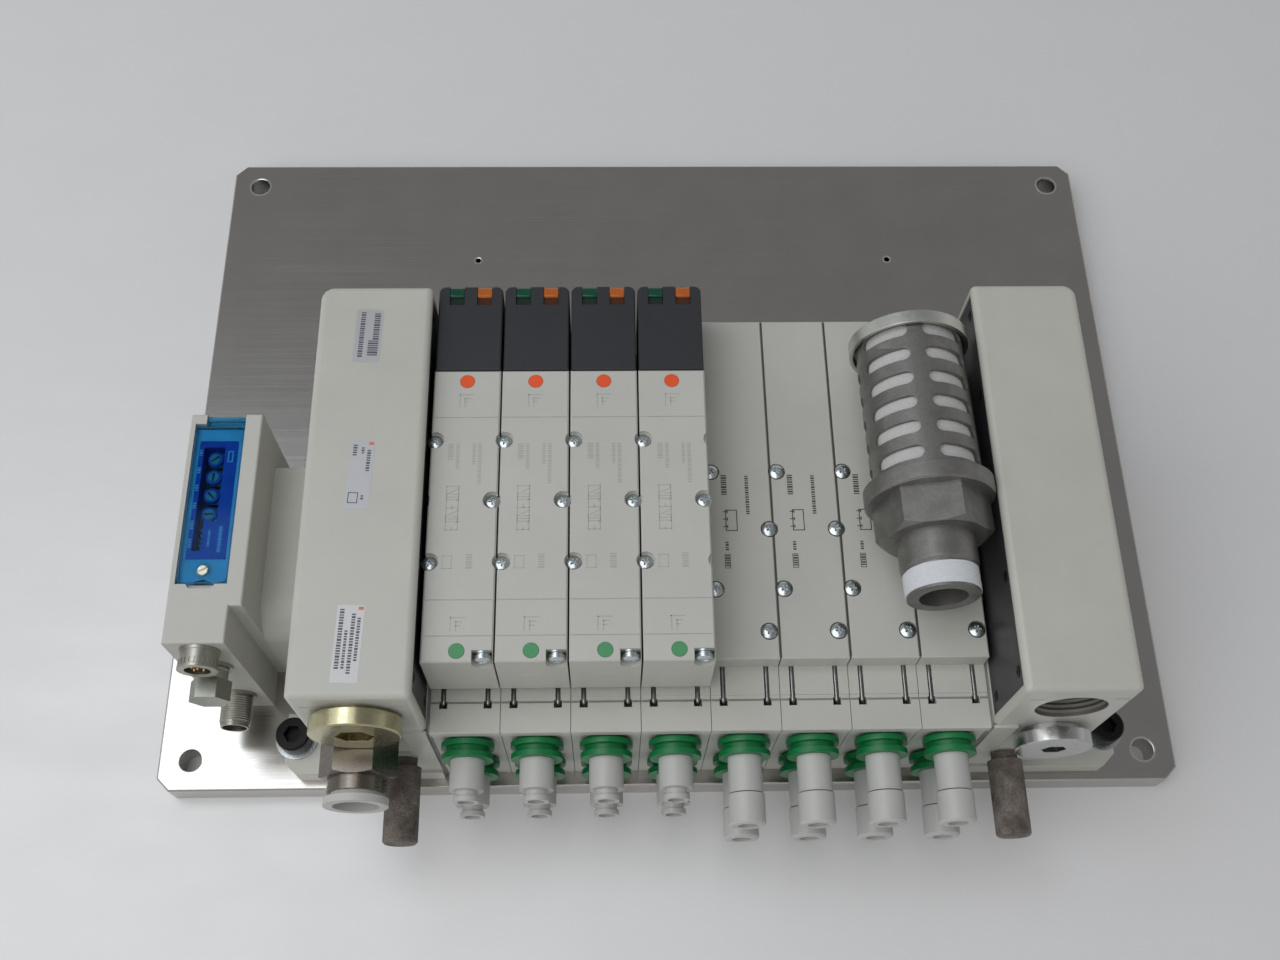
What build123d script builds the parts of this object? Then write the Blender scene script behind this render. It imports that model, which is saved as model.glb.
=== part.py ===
from build123d import *
import math
import os

# Pneumatic valve island: plug-in bases clamped between two end blocks, on a mounting plate.
# Lengths are millimetres. +X runs along the row, +Y is the back, +Z is up.
# The origin is the centre of the plate's underside. Heights are counted from the plate's top.

# Mounting plate
PLATE_LENGTH = 405.0
PLATE_DEPTH = 302.0
PLATE_THICKNESS = 12.7
PLATE_CORNER = 5.0
PLATE_EDGE_BREAK = 0.6
PLATE_HOLE_SPACING_X = 380.0
PLATE_HOLE_SPACING_Y = 277.6
PLATE_HOLE_RADIUS = 4.75
SPARE_HOLE_RADIUS = 1.6
SPARE_HOLE_SPACING = 192.6
SPARE_HOLE_Y = 96.3

# Row of stations
STATION_COUNT = 8
VALVE_COUNT = 4
STATION_PITCH = 25.0
ROW_CENTER_X = 12.0
SEAM = 0.2

# Manifold base of one station
BASE_FRONT_Y = -146.0
BASE_BACK_Y = 8.0
DECK_HEIGHT = 64.3
BASE_EDGE_BREAK = 0.5
LIP_DEPTH = 1.0
LIP_THICKNESS = 4.2
DECK_GROOVE_BACK_Y = -133.1
DECK_GROOVE_FRONT_Y = -135.3
DECK_GROOVE_DEPTH = 0.4
GALLERY_RADIUS = 7.5
GALLERY_HEIGHT = 37.5
GALLERY_Y = (-100.0, -60.0, -20.0)

# Clip that holds a station's two fittings
CLIP_WIRE_RADIUS = 0.75
CLIP_HALF_WIDTH = 7.9
CLIP_SOCKET = 2.9
CLIP_SOCKET_Y = -135.6
CLIP_SOCKET_DEPTH = 7.0
CLIP_BACK_Y = -118.0
CLIP_CHANNEL_CLEARANCE = 0.15

# Cylinder ports and their fittings
PORT_LOWER_HEIGHT = 24.7
PORT_UPPER_HEIGHT = 50.4
SPOOL_FLANGE_RADIUS = 9.6
SPOOL_GROOVE_RADIUS = 7.65
SPOOL_FLANGE = 2.0
SPOOL_CLEAR = 0.3
SPOOL_LENGTH = 6.5
SPOOL_SHANK = 14.0
SPOOL_SHANK_CLEARANCE = 0.1
FITTING_RADIUS = 6.175
FITTING_REACH = 17.5
FITTING_TUBE_RADIUS = 3.05
COLLAR_NECK_RADIUS = 3.9
COLLAR_RIM_RADIUS = 4.6
COLLAR_RIM_THICKNESS = 1.8
COLLAR_STAND_OFF = 2.2
COLLAR_NECK_DEPTH = 6.0
COLLAR_TRAVEL = 1.2
RUNNING_CLEARANCE = 0.08
PLUG_RADIUS = 6.6
PLUG_GAP = 0.4
PLUG_LENGTH = 11.0
PLUG_RECESS_RADIUS = 3.6
PLUG_RECESS_DEPTH = 6.0
PLUGGED_REACH = 19.5
PLUG_EDGE = 0.8

# Valve on a plug-in base
VALVE_GAP = 0.6
VALVE_BODY_HEIGHT = 35.1
VALVE_FRONT_Y = -130.9
VALVE_SPLIT_Y = -19.3
VALVE_SKIRT = 3.9
VALVE_SKIRT_INSET = 3.0
VALVE_EDGE = 0.5
VALVE_SEAM_YS = (-38.7, -108.8, -121.7)
VALVE_SEAM_WIDTH = 0.3
VALVE_SEAM_DEPTH = 0.2
VALVE_BAR_WIDTH = 7.2
VALVE_BAR_HEIGHT = 0.8
VALVE_BAR_PROUD = 0.3
VALVE_BAR_DROP = 15.2
PILOT_BACK_Y = 17.4
PILOT_CORNER = 2.6
PILOT_GAP = 0.9
PILOT_JOINT = 0.3
PILOT_FLOOR = 1.7
LAMP_WIDTH = 5.6
LAMP_DEPTH = 8.2
LAMP_SINK = 4.5
LAMP_OFFSETS = (-5.2, 5.2)
OVERRIDE_RADIUS = 2.65
OVERRIDE_LENGTH = 5.0
OVERRIDE_PROUD = 0.1
OVERRIDE_TRAVEL = 1.5
OVERRIDE_REST_GAP = 0.5
OVERRIDE_REAR_Y = -23.8
OVERRIDE_FRONT_INSET = 3.9

# Screws that hold valves and blanking plates, as (offset from the station's centre, y)
VALVE_SCREWS = ((-10.8, -47.8), (10.3, -71.5), (-10.8, -94.8))
BLANK_SCREWS = ((-9.9, -49.0), (11.1, -72.5), (-9.8, -96.1), (8.9, -112.3))
SCREW_HEAD_RADIUS = 2.9
SCREW_HEAD_HEIGHT = 2.2
SCREW_EDGE = 0.7
SCREW_SHANK_RADIUS = 1.5
SCREW_SHANK_LENGTH = 6.0
SCREW_SEAT_DEPTH = 2.0
SCREW_SEAT_CLEARANCE = 0.35
SCREW_HOLE_CLEARANCE = 0.1
SCREW_HEX_RADIUS = 1.25
SCREW_HEX_DEPTH = 1.2
CLAMP_NOTCH_CLEARANCE = 0.25
CLAMP_NOTCH_DEPTH = 4.2
CLAMP_OFFSET = 8.5
CLAMP_HEAD_RADIUS = 3.1
CLAMP_HEAD_THICKNESS = 1.9
CLAMP_WASHER_RADIUS = 3.25
CLAMP_WASHER_THICKNESS = 0.6
CLAMP_SPRING_RADIUS = 2.6
CLAMP_SPRING_THICKNESS = 0.7

# Blanking plate
BLANK_GAP = 0.5
BLANK_THICKNESS = 9.2
BLANK_FRONT_Y = -122.6
BLANK_BACK_Y = 17.2
BLANK_EDGE = 0.4

# End blocks
BLOCK_GAP = 1.0
SUPPLY_BLOCK_WIDTH = 41.4
EXHAUST_BLOCK_WIDTH = 39.6
BLOCK_FRONT_Y = -145.0
BLOCK_BACK_Y = 12.9
BLOCK_RISE = 42.7
BLOCK_OUTER_CORNER = 5.0
BLOCK_INNER_CORNER = 1.8
BLOCK_TOP_EDGE = 2.5
BLOCK_RELIEF = 1.2
BLOCK_RELIEF_RIM = 3.0
BLOCK_SLOT_WIDTH = 5.0
BLOCK_SLOT_HEIGHT = 0.8
BLOCK_SLOT_DEPTH = 1.0
BLOCK_SLOT_DROP = 11.0
BLOCK_SLOT_OFFSETS = (7.2, 36.4)
BOSS_WIDTH = 8.5
BOSS_ROUND = 8.2
BOSS_PROUD = 1.2
FOOT_HEIGHT = 10.0
FOOT_PROUD = 2.3
FOOT_DEPTH = 24.0
FOOT_OVERHANG = 20.1
FOOT_CORNER = 4.7
FOOT_BOLT_INSET = 4.2
FOOT_BOLT_Y = -133.7
BOLT_THREAD_RADIUS = 4.0
BOLT_HOLE_CLEARANCE = 0.5
BOLT_HEAD_RADIUS = 6.5
BOLT_HEAD_HEIGHT = 8.0
BOLT_HEX_RADIUS = 3.46
BOLT_HEX_DEPTH = 4.0
BOLT_HEAD_EDGE = 0.6
BOLT_TIP_GAP = 1.0
WASHER_RADIUS = 8.0
WASHER_THICKNESS = 1.6

# Ports of the end blocks, offsets outward from the row's end
MAIN_PORT_RADIUS = 12.3
MAIN_PORT_DEPTH = 17.0
PASSAGE_RADIUS = 10.0
PASSAGE_DEPTH = 60.0
MAIN_PORT_OFFSET = 22.0
MAIN_PORT_DROP = 21.2
SUPPLY_PLUG_RADIUS = 15.7
SUPPLY_PLUG_NECK = 1.4
SUPPLY_PLUG_THICKNESS = 6.0
SUPPLY_PLUG_HEX = 12.0
PORT_SPACING = 28.0
SECOND_PORT_OFFSET_SUPPLY = 25.1
SECOND_PORT_OFFSET_EXHAUST = 23.0
SECOND_PORT_RADIUS = 10.3
EXHAUST_PLUG_RADIUS = 13.7
EXHAUST_PLUG_NECK = 2.7
EXHAUST_PLUG_THICKNESS = 4.9
EXHAUST_PLUG_HEX = 8.0
PLUG_HEX_DEPTH = 5.0
PLUG_THREAD_DEPTH = 10.0
PLUG_HEAD_EDGE = 0.5
THREAD_CLEARANCE = 0.1
THREAD_RUNOUT = 2.0

# Push-in supply fitting
SUPPLY_HEX = 24.0
SUPPLY_HEX_LENGTH = 15.6
SUPPLY_BARREL_RADIUS = 10.5
SUPPLY_BARREL_LENGTH = 5.0
SUPPLY_TUBE_RADIUS = 8.1
SUPPLY_COLLAR_RADIUS = 11.4
SUPPLY_COLLAR_THICKNESS = 2.7
SUPPLY_COLLAR_STAND_OFF = 1.7
SUPPLY_COLLAR_WALL = 1.1
SUPPLY_COLLAR_DEPTH = 9.0
SUPPLY_COLLAR_TRAVEL = 1.4
SUPPLY_BORE_RADIUS = 6.3

# Sintered silencers of the pilot exhaust
SINTER_OFFSET = 13.4
SINTER_HEIGHT = 28.0
SINTER_RADIUS = 6.5
SINTER_LENGTH = 27.9
SINTER_NECK_RADIUS = 4.9
SINTER_NECK = 3.4
SINTER_THREAD_RADIUS = 4.8
SINTER_THREAD_DEPTH = 8.0
SINTER_EDGE = 0.7

# Exhaust silencer that lies on the blanking plates
SILENCER_X = 89.1
SILENCER_BACK_Y = -5.6
SILENCER_TURN = 1.3
SILENCER_CAP_RADIUS = 22.1
SILENCER_CAP_LENGTH = 4.9
SILENCER_CAP_SHEET = 1.3
SILENCER_CAGE_RADIUS = 19.8
SILENCER_CAGE_WALL = 1.5
SILENCER_CAGE_LENGTH = 55.9
SILENCER_FLANGE_RADIUS = 23.3
SILENCER_FLANGE_LENGTH = 7.0
SILENCER_FLANGE_EDGE = 0.8
SILENCER_HEX = 36.0
SILENCER_HEX_ROLL = 12.0
SILENCER_HEX_LENGTH = 14.2
SILENCER_NECK_LENGTH = 12.0
SILENCER_NECK_RADIUS = 13.8
SILENCER_SHOULDER = 1.2
SILENCER_THREAD_RADIUS = 12.8
SILENCER_THREAD_LENGTH = 9.4
SILENCER_BORE_RADIUS = 8.5
SILENCER_SLOT_WIDTH = 5.2
SILENCER_SLOT_ARC = 56.6
SILENCER_SLOT_ROLL = 5.3
SILENCER_SLOT_ROWS = 6
SILENCER_SLOT_COLUMNS = 5
SILENCER_SLOT_PITCH = 9.9
SILENCER_FIRST_SLOT = 6.3
ELEMENT_CLEARANCE = 0.2
ELEMENT_WALL = 3.0
REST_GAP = 0.1

# Serial unit and the adapter that joins it to the supply block
SERIAL_OUTER_X = -181.0
SERIAL_NECK_X = -159.0
SERIAL_INNER_X = -154.3
SERIAL_FRONT_Y = -117.0
SERIAL_STEP_Y = -103.0
SERIAL_BACK_Y = -26.5
SERIAL_HEIGHT = 80.0
SERIAL_EDGE = 0.8
WINDOW_FRONT_Y = -94.8
WINDOW_BACK_Y = -30.6
WINDOW_OUTER_X = -179.0
WINDOW_INNER_X = -160.4
WINDOW_DEPTH = 9.0
WINDOW_CLEARANCE = 0.3
COVER_SHEET = 1.5
COVER_SINK = 0.3
HINGE_NOTCH_OUTER_X = -175.0
HINGE_BARREL_RADIUS = 1.5
HINGE_PIN_RADIUS = 0.7
HINGE_CLEARANCE = 0.3
HINGE_NOTCH_DEPTH = 4.0
FINGER_NOTCH_LENGTH = 10.0
FINGER_NOTCH_DEPTH = 1.6
COVER_SCREW_X = -169.9
COVER_SCREW_Y = -89.3
COVER_SCREW_RADIUS = 2.3
COVER_POST_RADIUS = 3.2
COVER_POST_HOLE_RADIUS = 1.3
COVER_REAR_GAP = 1.2
PANEL_SINK = 2.2
PANEL_OUTER_X = -176.9
PANEL_INNER_X = -162.6
PANEL_FRONT_Y = -84.7
PANEL_BACK_Y = -37.0
PANEL_SLOT_X = -171.3
PANEL_SLOT_WIDTH = 7.8
PANEL_SLOT_BACK_Y = -39.6
PANEL_SLOT_FRONT_Y = -69.6
PANEL_STRIP_WIDTH = 3.2
PANEL_STRIP_FRONT_Y = -81.3
SWITCH_RADIUS = 2.9
SWITCH_COUNT = 4
SWITCH_HEIGHT = 4.4
PANEL_WEB = 1.0
PANEL_CORNER = 1.0
CONNECTOR_X = -169.5
BUS_IN_HEIGHT = 72.0
BUS_IN_RADIUS = 6.8
BUS_IN_LENGTH = 7.6
BUS_IN_LIP = 0.4
BUS_IN_BORE_RADIUS = 4.6
BUS_IN_BORE_DEPTH = 5.0
BUS_OUT_HEIGHT = 53.5
BUS_OUT_LENGTH = 9.0
BUS_OUT_BORE = 5.0
CAP_HEX = 13.0
CAP_LENGTH = 7.5
CAP_STAND_OFF = 6.0
CAP_CLEARANCE = 0.2
POWER_HEIGHT = 16.5
POWER_LENGTH = 13.5
M12_RADIUS = 5.7
M12_LEAD_IN = 0.4
M12_BORE_RADIUS = 4.7
M12_BORE_DEPTH = 8.5
CONNECTOR_RING_RADIUS = 7.2
CONNECTOR_RING = 1.2
ADAPTER_FRONT_Y = -104.0
ADAPTER_BACK_Y = -37.3
ADAPTER_HEIGHT = 55.0
ADAPTER_ROUND = 14.0

# Values that follow from the sizes above
ROW_HALF = STATION_COUNT * STATION_PITCH / 2
ROW_LEFT_X = ROW_CENTER_X - ROW_HALF
ROW_RIGHT_X = ROW_CENTER_X + ROW_HALF
STATION_XS = [ROW_LEFT_X + STATION_PITCH * (n + 0.5) for n in range(STATION_COUNT)]
VALVE_XS = STATION_XS[:VALVE_COUNT]
BLANK_XS = STATION_XS[VALVE_COUNT:]
VALVE_WIDTH = STATION_PITCH - VALVE_GAP
VALVE_HEIGHT = DECK_HEIGHT + VALVE_BODY_HEIGHT
OVERRIDE_FRONT_Y = VALVE_FRONT_Y + OVERRIDE_FRONT_INSET
BLOCK_HEIGHT = DECK_HEIGHT + BLOCK_RISE
MAIN_PORT_HEIGHT = BLOCK_HEIGHT - MAIN_PORT_DROP
SECOND_PORT_HEIGHT = MAIN_PORT_HEIGHT - PORT_SPACING
HEX_CORNER = 1 / math.sqrt(3)
PORT_HEIGHTS = (PORT_LOWER_HEIGHT, PORT_UPPER_HEIGHT)
BLANK_TOP = DECK_HEIGHT + BLANK_THICKNESS
SUPPLY_OUTER_X = ROW_LEFT_X - BLOCK_GAP - SUPPLY_BLOCK_WIDTH
FOOT_REACH = ROW_CENTER_X - SUPPLY_OUTER_X + FOOT_OVERHANG
FOOT_BOLT_X = FOOT_REACH - FOOT_BOLT_INSET


os.makedirs("parts", exist_ok=True)


def level(height):
    """Horizontal plane at a height above the mounting plate."""
    return Plane.XY.offset(PLATE_THICKNESS + height)


def facing_front(x, y, height):
    """Plane whose x direction points to the front, for pieces turned about a front-to-back axis."""
    return Plane(
        origin=(x, y, PLATE_THICKNESS + height), x_dir=(0, -1, 0), z_dir=(1, 0, 0)
    )


def front_face(x, y, height):
    """Plane of a front face, with its normal towards the front."""
    return Plane(
        origin=(x, y, PLATE_THICKNESS + height), x_dir=(1, 0, 0), z_dir=(0, -1, 0)
    )


def turned(plane, profile):
    """Piece turned about the plane's x direction from (distance, radius) points."""
    with BuildPart() as piece:
        with BuildSketch(plane):
            with BuildLine():
                Polyline(*profile, close=True)
            make_face()
        revolve(axis=Axis(plane.origin, plane.x_dir))
    return piece.part


def hexagon_chamfer(end, flats):
    """Corner of a hexagon bar at its end face, as the (distance, radius) points to turn off."""
    return [(end, flats / 2), (end, flats), (end - flats / 2 * HEX_CORNER, flats)]


def save(part, name):
    """Label a finished piece and write its file."""
    part.label = name
    export_step(part, f"parts/{name}.step")


def save_group(parts, name):
    """Write like pieces as one group of separate solids."""
    save(Compound(children=list(parts)), name)


# Mounting plate with its four fixing holes, two spare tapped holes and the foot bolts' threads
with BuildPart() as mounting_plate:
    with BuildSketch() as plate_outline:
        Rectangle(PLATE_LENGTH, PLATE_DEPTH)
        chamfer(plate_outline.vertices(), PLATE_CORNER)
    extrude(amount=PLATE_THICKNESS)
    chamfer(mounting_plate.faces().sort_by(Axis.Z)[-1].edges(), PLATE_EDGE_BREAK)
    with Locations((0, 0, PLATE_THICKNESS)):
        with GridLocations(PLATE_HOLE_SPACING_X, PLATE_HOLE_SPACING_Y, 2, 2):
            Hole(PLATE_HOLE_RADIUS)
    with Locations((ROW_CENTER_X, SPARE_HOLE_Y, PLATE_THICKNESS)):
        with Locations((-SPARE_HOLE_SPACING / 2, 0), (SPARE_HOLE_SPACING / 2, 0)):
            Hole(SPARE_HOLE_RADIUS)
    with Locations((ROW_CENTER_X, FOOT_BOLT_Y, PLATE_THICKNESS)):
        with Locations((-FOOT_BOLT_X, 0), (FOOT_BOLT_X, 0)):
            Hole(BOLT_THREAD_RADIUS + THREAD_CLEARANCE)
save(mounting_plate.part, "mounting_plate")


def manifold_base(x):
    """Base of one station: galleries along the row, two cylinder ports, clip channels."""
    side = Plane.YZ.offset(x - (STATION_PITCH - SEAM) / 2)
    floor = PLATE_THICKNESS
    deck = PLATE_THICKNESS + DECK_HEIGHT
    lip_under = deck - LIP_THICKNESS
    leg_xs = (x - CLIP_HALF_WIDTH, x + CLIP_HALF_WIDTH)
    channel = 2 * (CLIP_WIRE_RADIUS + CLIP_CHANNEL_CLEARANCE)
    channel_length = CLIP_BACK_Y - CLIP_SOCKET_Y
    channel_y = CLIP_SOCKET_Y + channel_length / 2
    with BuildPart() as base:
        with BuildSketch(side):
            with BuildLine():
                Polyline(
                    (BASE_FRONT_Y + LIP_DEPTH, floor),
                    (BASE_FRONT_Y + LIP_DEPTH, lip_under),
                    (BASE_FRONT_Y, lip_under),
                    (BASE_FRONT_Y, deck),
                    (BASE_BACK_Y, deck),
                    (BASE_BACK_Y, floor),
                    close=True,
                )
            make_face()
        extrude(amount=STATION_PITCH - SEAM)
        chamfer(base.edges().filter_by(Axis.X).group_by(Axis.Z)[-1], BASE_EDGE_BREAK)
        with BuildSketch(side):
            with Locations(*[(y, floor + GALLERY_HEIGHT) for y in GALLERY_Y]):
                Circle(GALLERY_RADIUS)
        extrude(amount=STATION_PITCH - SEAM, mode=Mode.SUBTRACT)
        with BuildSketch(Plane.XZ.offset(-BASE_FRONT_Y)):
            with Locations(*[(x, floor + height) for height in PORT_HEIGHTS]):
                Circle(SPOOL_GROOVE_RADIUS)
        extrude(amount=-(LIP_DEPTH + SPOOL_SHANK), mode=Mode.SUBTRACT)
        with BuildSketch(level(DECK_HEIGHT)):
            with Locations(*[(leg_x, CLIP_SOCKET_Y) for leg_x in leg_xs]):
                Rectangle(CLIP_SOCKET, CLIP_SOCKET)
        extrude(amount=-CLIP_SOCKET_DEPTH, mode=Mode.SUBTRACT)
        with BuildSketch(level(DECK_HEIGHT)):
            with Locations(*[(leg_x, channel_y) for leg_x in leg_xs]):
                Rectangle(channel, channel_length)
        extrude(amount=-channel, mode=Mode.SUBTRACT)
        with BuildSketch(level(DECK_HEIGHT)):
            with Locations((x, (DECK_GROOVE_BACK_Y + DECK_GROOVE_FRONT_Y) / 2)):
                Rectangle(STATION_PITCH - SEAM, DECK_GROOVE_BACK_Y - DECK_GROOVE_FRONT_Y)
        extrude(amount=-DECK_GROOVE_DEPTH, mode=Mode.SUBTRACT)
    return base.part


for number, station_x in enumerate(STATION_XS, start=1):
    save(manifold_base(station_x), f"manifold_base_{number}")


def clip_leg(x):
    """One leg of a fitting clip: lies in its channel, then turns down into its socket."""
    wire_height = PLATE_THICKNESS + DECK_HEIGHT - CLIP_WIRE_RADIUS - CLIP_CHANNEL_CLEARANCE
    bottom = PLATE_THICKNESS + DECK_HEIGHT - CLIP_SOCKET_DEPTH
    back = (x, CLIP_BACK_Y - CLIP_CHANNEL_CLEARANCE, wire_height)
    with BuildPart() as leg:
        with BuildLine() as path:
            FilletPolyline(
                back,
                (x, CLIP_SOCKET_Y, wire_height),
                (x, CLIP_SOCKET_Y, bottom + CLIP_CHANNEL_CLEARANCE),
                radius=2 * CLIP_WIRE_RADIUS,
            )
        with BuildSketch(Plane(origin=back, z_dir=(0, -1, 0))):
            Circle(CLIP_WIRE_RADIUS)
        sweep(path=path.line)
    return leg.part


save_group(
    [clip_leg(x + side * CLIP_HALF_WIDTH) for x in STATION_XS for side in (-1, 1)],
    "fitting_clips",
)


def spool(x, height):
    """Coloured collar of a fitting, a grooved spool with its shank in the port."""
    shank_radius = SPOOL_GROOVE_RADIUS - SPOOL_SHANK_CLEARANCE
    bore = FITTING_TUBE_RADIUS
    front = SPOOL_LENGTH
    return turned(
        facing_front(x, BASE_FRONT_Y, height),
        [
            (-SPOOL_SHANK, bore),
            (-SPOOL_SHANK, shank_radius),
            (SPOOL_CLEAR, shank_radius),
            (SPOOL_CLEAR, SPOOL_FLANGE_RADIUS),
            (SPOOL_CLEAR + SPOOL_FLANGE, SPOOL_FLANGE_RADIUS),
            (SPOOL_CLEAR + SPOOL_FLANGE, SPOOL_GROOVE_RADIUS),
            (front - SPOOL_FLANGE, SPOOL_GROOVE_RADIUS),
            (front - SPOOL_FLANGE, SPOOL_FLANGE_RADIUS - SPOOL_CLEAR),
            (front, SPOOL_FLANGE_RADIUS - SPOOL_CLEAR),
            (front, bore),
        ],
    )


save_group([spool(x, height) for x in STATION_XS for height in PORT_HEIGHTS], "port_spools")


def fitting_body(x, height, reach):
    """Light grey barrel of a push-in fitting, bored for its release collar."""
    bore = COLLAR_NECK_RADIUS + RUNNING_CLEARANCE
    bore_floor = FITTING_REACH - COLLAR_NECK_DEPTH - COLLAR_TRAVEL
    return turned(
        facing_front(x, BASE_FRONT_Y, height),
        [
            (SPOOL_LENGTH, FITTING_TUBE_RADIUS),
            (SPOOL_LENGTH, FITTING_RADIUS),
            (reach, FITTING_RADIUS),
            (reach, bore),
            (bore_floor, bore),
            (bore_floor, FITTING_TUBE_RADIUS),
        ],
    )


save_group(
    [fitting_body(x, h, FITTING_REACH) for x in VALVE_XS for h in PORT_HEIGHTS]
    + [fitting_body(x, h, PLUGGED_REACH) for x in BLANK_XS for h in PORT_HEIGHTS],
    "fitting_bodies",
)


def release_collar(x, height):
    """Ring that is pressed towards the manifold to let a tube go."""
    inner_end = FITTING_REACH - COLLAR_NECK_DEPTH
    rim_back = FITTING_REACH + COLLAR_STAND_OFF
    rim_front = rim_back + COLLAR_RIM_THICKNESS
    return turned(
        facing_front(x, BASE_FRONT_Y, height),
        [
            (inner_end, FITTING_TUBE_RADIUS),
            (inner_end, COLLAR_NECK_RADIUS),
            (rim_back, COLLAR_NECK_RADIUS),
            (rim_back, COLLAR_RIM_RADIUS),
            (rim_front, COLLAR_RIM_RADIUS),
            (rim_front, FITTING_TUBE_RADIUS),
        ],
    )


for number, station_x in enumerate(VALVE_XS, start=1):
    for row, port_height in zip(("lower", "upper"), PORT_HEIGHTS):
        save(release_collar(station_x, port_height), f"release_collar_{row}_{number}")


def port_plug(x, height):
    """Blind plug pushed into a fitting, hollow at its outer end."""
    back = PLUGGED_REACH + PLUG_GAP
    front = back + PLUG_LENGTH
    stem_end = FITTING_REACH - COLLAR_NECK_DEPTH
    stem = FITTING_TUBE_RADIUS - RUNNING_CLEARANCE
    return turned(
        facing_front(x, BASE_FRONT_Y, height),
        [
            (stem_end, 0),
            (stem_end, stem),
            (back, stem),
            (back, PLUG_RADIUS),
            (front - PLUG_EDGE, PLUG_RADIUS),
            (front, PLUG_RADIUS - PLUG_EDGE),
            (front, PLUG_RECESS_RADIUS),
            (front - PLUG_RECESS_DEPTH, PLUG_RECESS_RADIUS),
            (front - PLUG_RECESS_DEPTH, 0),
        ],
    )


save_group([port_plug(x, height) for x in BLANK_XS for height in PORT_HEIGHTS], "port_plugs")


def screw_seats(x, offsets):
    """Seats that a station's own screws and its neighbours' share across the seams."""
    return [
        (x + shift + offset, y)
        for shift in (-STATION_PITCH, 0, STATION_PITCH)
        for offset, y in offsets
        if abs(shift + offset) < STATION_PITCH / 2 + SCREW_HEAD_RADIUS + SCREW_SEAT_CLEARANCE
    ]


def valve_body(x):
    """Valve body with a skirt on the base, override bores, screw seats and a clamp notch."""
    with BuildPart() as body:
        with BuildSketch(level(DECK_HEIGHT + VALVE_SKIRT)):
            with Locations((x, (VALVE_FRONT_Y + VALVE_SPLIT_Y) / 2)):
                Rectangle(VALVE_WIDTH, VALVE_SPLIT_Y - VALVE_FRONT_Y)
        extrude(amount=VALVE_BODY_HEIGHT - VALVE_SKIRT)
        chamfer(body.faces().sort_by(Axis.Z)[-1].edges(), VALVE_EDGE)
        skirt_front = VALVE_FRONT_Y + VALVE_SKIRT_INSET
        with BuildSketch(level(DECK_HEIGHT)):
            with Locations((x, (skirt_front + VALVE_SPLIT_Y) / 2)):
                Rectangle(
                    VALVE_WIDTH - VALVE_SKIRT_INSET, VALVE_SPLIT_Y - skirt_front
                )
        extrude(amount=VALVE_SKIRT)
        with BuildSketch(level(VALVE_HEIGHT)):
            with Locations((x, OVERRIDE_REAR_Y), (x, OVERRIDE_FRONT_Y)):
                Circle(OVERRIDE_RADIUS + RUNNING_CLEARANCE)
        extrude(
            amount=-(OVERRIDE_LENGTH + OVERRIDE_TRAVEL + OVERRIDE_REST_GAP),
            mode=Mode.SUBTRACT,
        )
        with BuildSketch(level(VALVE_HEIGHT)):
            with Locations(*screw_seats(x, VALVE_SCREWS)):
                Circle(SCREW_HEAD_RADIUS + SCREW_SEAT_CLEARANCE)
        extrude(amount=-SCREW_SEAT_DEPTH, mode=Mode.SUBTRACT)
        with BuildSketch(level(VALVE_HEIGHT)):
            with Locations(*[(x + offset, y) for offset, y in VALVE_SCREWS]):
                Circle(SCREW_SHANK_RADIUS + SCREW_HOLE_CLEARANCE)
        extrude(amount=-(SCREW_SEAT_DEPTH + SCREW_SHANK_LENGTH), mode=Mode.SUBTRACT)
        notch_radius = CLAMP_WASHER_RADIUS + CLAMP_NOTCH_CLEARANCE
        notch_axis = (x + CLAMP_OFFSET, VALVE_HEIGHT - notch_radius)
        with BuildSketch(front_face(0, VALVE_FRONT_Y, 0)):
            with Locations(notch_axis):
                Circle(notch_radius)
            with Locations((x + CLAMP_OFFSET, VALVE_HEIGHT - notch_radius / 2)):
                Rectangle(2 * notch_radius, notch_radius)
        extrude(amount=-CLAMP_NOTCH_DEPTH, mode=Mode.SUBTRACT)
        with BuildSketch(front_face(0, VALVE_FRONT_Y, 0)):
            with Locations(notch_axis):
                Circle(SCREW_SHANK_RADIUS + SCREW_HOLE_CLEARANCE)
        extrude(amount=-(CLAMP_NOTCH_DEPTH + SCREW_SHANK_LENGTH), mode=Mode.SUBTRACT)
        with BuildSketch(level(VALVE_HEIGHT)):
            with Locations(*[(x, y) for y in VALVE_SEAM_YS]):
                Rectangle(VALVE_WIDTH, VALVE_SEAM_WIDTH)
        extrude(amount=-VALVE_SEAM_DEPTH, mode=Mode.SUBTRACT)
        with BuildSketch(front_face(0, VALVE_FRONT_Y, 0)):
            with Locations((x, VALVE_HEIGHT - VALVE_BAR_DROP)):
                Rectangle(VALVE_BAR_WIDTH, VALVE_BAR_HEIGHT)
        extrude(amount=VALVE_BAR_PROUD)
    return body.part


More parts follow.
